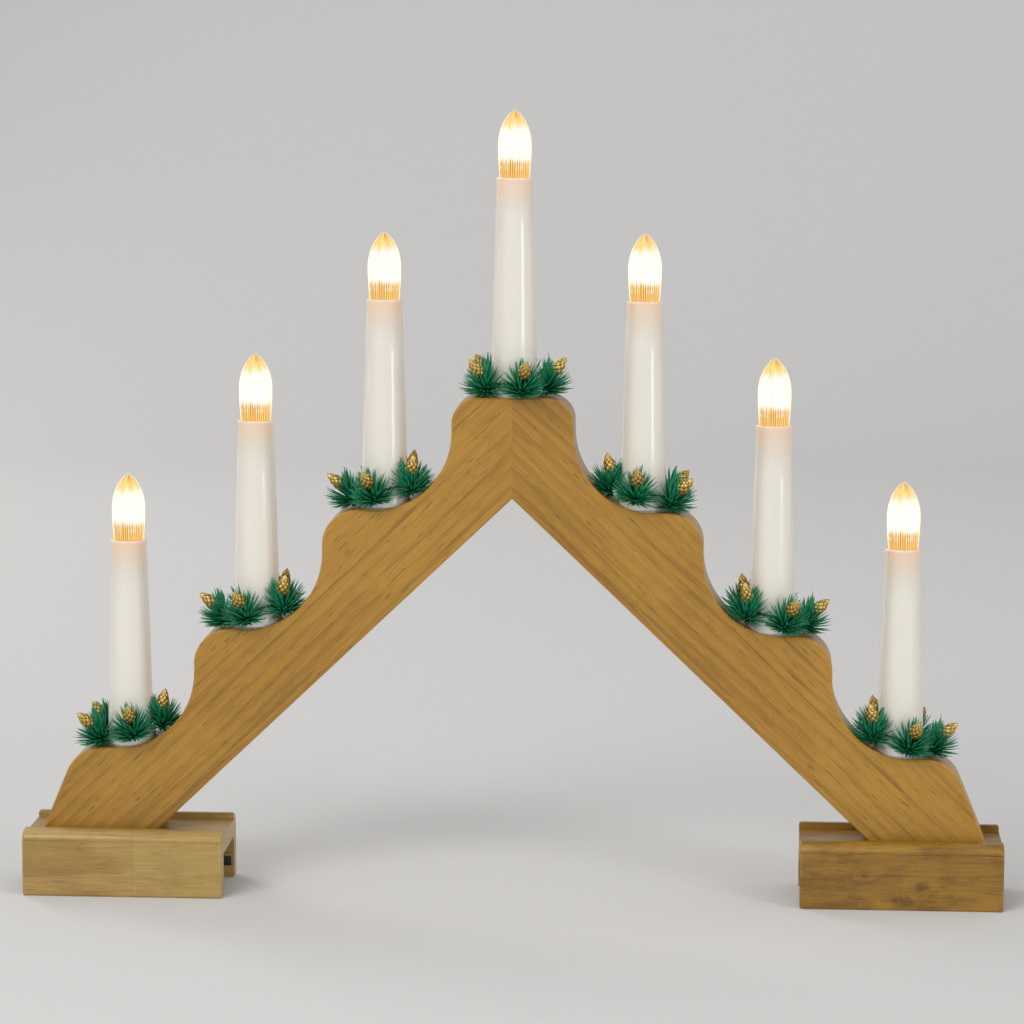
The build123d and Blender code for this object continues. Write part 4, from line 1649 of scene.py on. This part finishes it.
    def _posts(self, shape: bmesh.types.BMesh) -> None:
        """Adds the hub, the peg and the stem of the cone.

        Args:
            shape: The sprig.
        """
        upright = Matrix.Identity(4)
        lean = Matrix.Rotation(math.radians(self.cone_lean), 4, "Y")
        hub = (self.hub_foot, self.hub_radius, self.hub_height, upright, -self.root_drop / 2)
        peg = (self.peg_tip, self.peg_radius, self.peg_length, upright, -self.peg_length / 2)
        stem = (self.stem_foot, self.stem_radius, self.cone_reach, lean, self.cone_reach / 2)
        for lower, upper, height, turned, level in (hub, peg, stem):
            bmesh.ops.create_cone(
                shape, cap_ends=True, cap_tris=False, segments=self.post_sides, radius1=lower,
                radius2=upper, depth=height, matrix=turned @ Matrix.Translation((0, 0, level)),
            )

    def _cone(self) -> bpy.types.Mesh:
        """Makes a cone whose scales stand up between two sets of crossing grooves.

        Returns:
            The cone, standing on the origin.
        """
        rows = self.cone_rows * 3
        profile = [(0, 0)]
        for row in range(1, rows):
            share = row / rows
            swell = math.sin(math.pi * min(1.0, share ** self.belly_shift)) ** self.belly_fullness
            profile.append((self.cone_radius * self.cone_body * swell, self.cone_length * share))
        profile.append((0, self.cone_length))
        shape = turned_shape(profile, self.cone_columns * 6)
        layer = shape.verts.layers.float_vector.new("scale")
        for vert in shape.verts:
            share = vert.co.z / self.cone_length
            angle = math.atan2(vert.co.y, vert.co.x) * self.cone_columns / 2
            climb = share * self.cone_rows * math.pi / 2
            relief = math.sqrt(abs(math.sin(angle + climb) * math.sin(angle - climb)))
            vert[layer] = Vector((relief, share, 0))
            radius = math.hypot(vert.co.x, vert.co.y)
            if radius > 0:
                raised = self.scale_height * (relief - self.scale_middle)
                growth = 1 + raised / radius * min(1.0, (1 - share) * self.tip_fade)
                vert.co.x *= growth
                vert.co.y *= growth
                vert.co.z += self.scale_lift * relief * (1 - share)
        smooth(shape, self.cone_smooth_below)
        return kept(shape, "cone")


@dataclass
class Wreath:
    """A wreath of five sprigs on a ring, laid round a candle and tilted up over the cove behind it.

    Sizes are in metres and angles in degrees.

    Attributes:
        candle: The candle that it lies round.
        bearing: Bearing of its foremost sprig, in degrees.
        kit: The sprig and the cone.
        finishes: The finishes.
    """

    candle: Candle
    bearing: float
    kit: SprigKit
    finishes: Finishes
    sprigs: int = 5
    hub_ring: float = 14.5 * MILLIMETRE
    ring_radius: float = 12.6 * MILLIMETRE
    ring_half: float = 0.6 * MILLIMETRE
    peg_length: float = 6.3 * MILLIMETRE
    cove_radius: float = 36.0 * MILLIMETRE
    cove_reach: float = 4.4 * MILLIMETRE
    uphill_lift: float = 16.0
    collar_depth: float = 0.5 * MILLIMETRE
    stem_gap: float = 0.1 * MILLIMETRE
    ring_steps: int = 48
    ring_smooth_below: float = 60.0

    def __post_init__(self) -> None:
        """Works out where the wreath lies."""
        self.number = self.candle.number
        self.side = self.candle.side
        self.shelf = self.candle.foot_level - self.candle.rest_height + self.collar_depth

    def _frame(self) -> Matrix:
        """Plane of the ring.

        Returns:
            Its place, with Z square to the ring.
        """
        if self.side == 0:
            return Matrix.Translation((self.candle.axis_x, 0, self.shelf + self.peg_length))
        swing = self.peg_length * math.sin(math.radians(self.uphill_lift)) / 2
        reach = self.hub_ring + swing + self.cove_reach
        uphill = self.cove_radius - math.sqrt(self.cove_radius ** 2 - reach ** 2)
        tilt = math.atan2(uphill, 2 * self.hub_ring)
        rise = uphill / 2 + self.peg_length * math.cos(tilt)
        drift = self.side * self.peg_length * math.sin(tilt) / 2
        moved = Matrix.Translation((self.candle.axis_x + drift, 0, self.shelf + rise))
        return moved @ Matrix.Rotation(self.side * tilt, 4, "Y")

    def _sprig_places(self) -> list[Matrix]:
        """Place of each sprig. Those that point uphill are bent up over the cove.

        Returns:
            The places.
        """
        places = []
        for turn in range(self.sprigs):
            bearing = math.radians(self.bearing + turn * 360 / self.sprigs)
            uphill_share = max(0.0, -self.side * math.cos(bearing)) * abs(self.side)
            lift = math.radians(self.uphill_lift * uphill_share)
            outward = Matrix.Translation((self.hub_ring, 0, 0)) @ Matrix.Rotation(-lift, 4, "Y")
            places.append(self._frame() @ Matrix.Rotation(bearing, 4, "Z") @ outward)
        return places

    def build(self) -> None:
        """Makes the wreath and its cones."""
        greenery = bmesh.new()
        gilding = bmesh.new()
        stem_end = Matrix.Rotation(math.radians(self.kit.cone_lean), 4, "Y")
        stem_end = stem_end @ Matrix.Translation((0, 0, self.kit.cone_reach + self.stem_gap))
        for turn, place in enumerate(self._sprig_places()):
            stamp(greenery, self.kit.sprigs[(turn + self.number) % len(self.kit.sprigs)], place)
            stamp(gilding, self.kit.cone, place @ stem_end)
        before = len(greenery.faces)
        stamp(greenery, self._ring(), self._frame())
        second_finish(greenery, before)
        greens = [self.finishes.needles, self.finishes.twig]
        node = f"wreath_{self.number}"
        new_piece(greenery, f"greenery_{self.number}", greens, Body.ARCH.value, (node,))
        gold = [self.finishes.gilding]
        node = f"cones_{self.number}"
        new_piece(gilding, f"gilded_cones_{self.number}", gold, Body.ARCH.value, (node,))

    def _ring(self) -> bpy.types.Mesh:
        """Makes the moulded ring that the sprigs are on.

        Returns:
            The ring, flat about the origin.
        """
        section = arc((self.ring_radius, 0), self.ring_half, 0, 360, 9)
        section[-1] = section[0]
        shape = turned_shape(section, self.ring_steps)
        smooth(shape, self.ring_smooth_below)
        return kept(shape, "wreath_ring")


@dataclass
class Electrics:
    """The battery box and the switch in the left foot, and the leads in the grooves.

    Attributes:
        finishes: The finishes.
        edge_width: Width of the rounding on the housings, in metres.
        block_end: Place along Y up to which the switch's terminal block reaches, in metres.
        block_foot: Level below which its corners are raised, in metres.
        lid_room: How far they are raised, in metres.
    """

    finishes: Finishes
    edge_width: float = 0.18 * MILLIMETRE
    block_end: float = 17.5 * MILLIMETRE
    block_foot: float = 8.3 * MILLIMETRE
    lid_room: float = 0.25 * MILLIMETRE

    def build(self) -> None:
        """Makes the housings and dresses what they hold."""
        housings = (
            ("battery_box", Body.ARCH, "moulded_box"),
            ("battery_lid", Body.LID, "moulded_lid"),
            ("switch_body", Body.ARCH, "switch_case"),
            ("switch_knob", Body.KNOB, "switch_slider"),
        )
        for node, body, name in housings:
            shape = refined_copy(node, self.edge_width)
            if node == "switch_body":
                self._clear_lid(shape)
            new_piece(shape, name, [self.finishes.black], body.value, (node,))
        low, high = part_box("battery_cells")
        jacket = CellJacket("cell_jacket_foil", (low.x + high.x) / 2).build()
        dress("battery_cells", jacket)
        dress("battery_contacts", self.finishes.leaf)
        for node in ("main_lead", "candle_leads", "switch_lead"):
            dress(node, self.finishes.lead)

    def _clear_lid(self, shape: bmesh.types.BMesh) -> None:
        """Raises the end of the switch's terminal block, so that the lid slides out below it.

        Args:
            shape: The switch's body.
        """
        for vert in shape.verts:
            if vert.co.y < self.block_end and vert.co.z < self.block_foot:
                vert.co.z += self.lid_room
        shape.normal_update()


@dataclass(frozen=True)
class SoftLamp:
    """A rectangular lamp of the studio.

    Attributes:
        name: Its name.
        place: Where it stands.
        size: Its width and height.
        power: Its power, in watts.
    """

    name: str
    place: tuple[float, float, float]
    size: tuple[float, float]
    power: float

    def build(self, target: Vector) -> None:
        """Adds the lamp.

        Args:
            target: The point that it faces.
        """
        light = bpy.data.lights.new(self.name, "AREA")
        light.shape = "RECTANGLE"
        light.size, light.size_y = self.size
        light.energy = self.power
        lamp = bpy.data.objects.new(self.name, light)
        lamp.location = self.place
        aim = target - Vector(self.place)
        lamp.rotation_euler = aim.to_track_quat("-Z", "Y").to_euler()
        bpy.context.scene.collection.objects.link(lamp)


@dataclass
class Studio:
    """Pale sweep, soft lamps and the camera.

    Sizes are in metres and angles in degrees.

    Attributes:
        focal_pixels: Focal length of the camera, in pixels of the photo.
        frame_pixels: Width of the photo, in pixels.
        corner_pixel: Where the photo shows the lower front corner of the mitre, in pixels.
        corner_depth: How far that corner is from the camera.
        corner_drop: How far it is below the top of the groove covers.
    """

    lamps: tuple[SoftLamp, ...] = (
        SoftLamp("key", (-1.1, -1.9, 1.5), (1.3, 1.3), 24.0),
        SoftLamp("side", (1.75, -1.45, 0.8), (0.5, 1.8), 12.0),
        SoftLamp("rim", (-1.25, 1.35, 1.1), (0.4, 1.6), 8.0),
    )
    paper: Colour = tint(226, 224, 220)
    sky: Colour = (0.93, 0.95, 1.0, 1.0)
    sky_strength: float = 0.58
    yaw: float = 3.55
    pitch: float = 7.8
    roll: float = 0.16
    focal_pixels: float = 3850.0
    frame_pixels: float = 1024.0
    sensor_width: float = 36.0
    corner_pixel: tuple[float, float] = (512.0, 499.0)
    corner_depth: float = 1.7498
    corner_drop: float = 2.76 * MILLIMETRE
    clip_start: float = 0.05
    clip_end: float = 50.0
    sweep_width: float = 60.0
    sweep_front: float = 30.0
    sweep_back: float = 1.6
    sweep_height: float = 4.0
    sweep_curve: float = 0.9

    def build(self) -> None:
        """Makes the surroundings."""
        self._sweep()
        self._world()
        middle = Vector((0, 0, (cad_bounds[0].z + cad_bounds[1].z) / 2))
        for lamp in self.lamps:
            lamp.build(middle)
        self._camera()

    def _sweep(self) -> None:
        """Makes the floor, which curves up into a backdrop."""
        shape = bmesh.new()
        left = -self.sweep_width / 2
        outline = [(-self.sweep_front, 0.0)]
        outline += arc((self.sweep_back, self.sweep_curve), self.sweep_curve, -90, 0, 16)
        outline += [(self.sweep_back + self.sweep_curve, self.sweep_height)]
        verts = [shape.verts.new((left, depth, height)) for depth, height in outline]
        edges = [shape.edges.new(pair) for pair in zip(verts, verts[1:])]
        made = bmesh.ops.extrude_edge_only(shape, edges=edges)["geom"]
        moved = [item for item in made if isinstance(item, bmesh.types.BMVert)]
        bmesh.ops.translate(shape, verts=moved, vec=(self.sweep_width, 0, 0))
        for face in shape.faces:
            face.smooth = True
        mesh = bpy.data.meshes.new("sweep")
        shape.to_mesh(mesh)
        shape.free()
        floor = bpy.data.objects.new("sweep", mesh)
        bpy.context.scene.collection.objects.link(floor)
        shader = Shader("pale_paper")
        paper = shader.principled(Base_Color=self.paper, Roughness=0.9, Specular_IOR_Level=0.1)
        mesh.materials.append(shader.close(paper))

    def _world(self) -> None:
        """Lights everything softly from all round."""
        world = bpy.data.worlds.new("studio")
        world.use_nodes = True
        background = world.node_tree.nodes["Background"]
        background.inputs["Color"].default_value = self.sky
        background.inputs["Strength"].default_value = self.sky_strength
        bpy.context.scene.world = world

    def _camera(self) -> None:
        """Places the camera at the photograph's viewing angle."""
        data = bpy.data.cameras.new("camera")
        data.sensor_width = self.sensor_width
        data.lens = self.focal_pixels * self.sensor_width / self.frame_pixels
        data.clip_start = self.clip_start
        data.clip_end = self.clip_end
        camera = bpy.data.objects.new("camera", data)
        turn = Matrix.Rotation(math.radians(self.yaw), 4, "Z")
        turn = turn @ Matrix.Rotation(math.radians(90 - self.pitch), 4, "X")
        turn = turn @ Matrix.Rotation(math.radians(self.roll), 4, "Z")
        low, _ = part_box("arch_right_half")
        _, cover_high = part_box("groove_cover_right")
        corner = Vector((0, low.y, cover_high.z - self.corner_drop))
        offset_x = (self.corner_pixel[0] - self.frame_pixels / 2) / self.focal_pixels
        offset_y = (self.frame_pixels / 2 - self.corner_pixel[1]) / self.focal_pixels
        seen = Vector((offset_x, offset_y, -1)) * self.corner_depth
        camera.matrix_world = Matrix.Translation(corner - turn.to_3x3() @ seen) @ turn
        bpy.context.scene.collection.objects.link(camera)
        bpy.context.scene.camera = camera
        bpy.context.scene.view_settings.view_transform = "Standard"


def main() -> None:
    """Builds the whole object and its surroundings."""
    logging.basicConfig(level=logging.INFO, format="%(name)s: %(message)s")
    finishes = Finishes()
    Arch(finishes).build()
    Feet(finishes).build()
    kit = SprigKit()
    for number, bearing in enumerate(WREATH_BEARINGS, start=1):
        candle = Candle(number, finishes)
        candle.build()
        Wreath(candle, bearing, kit, finishes).build()
    Electrics(finishes).build()
    Studio().build()


if __name__ == "__main__":
    main()
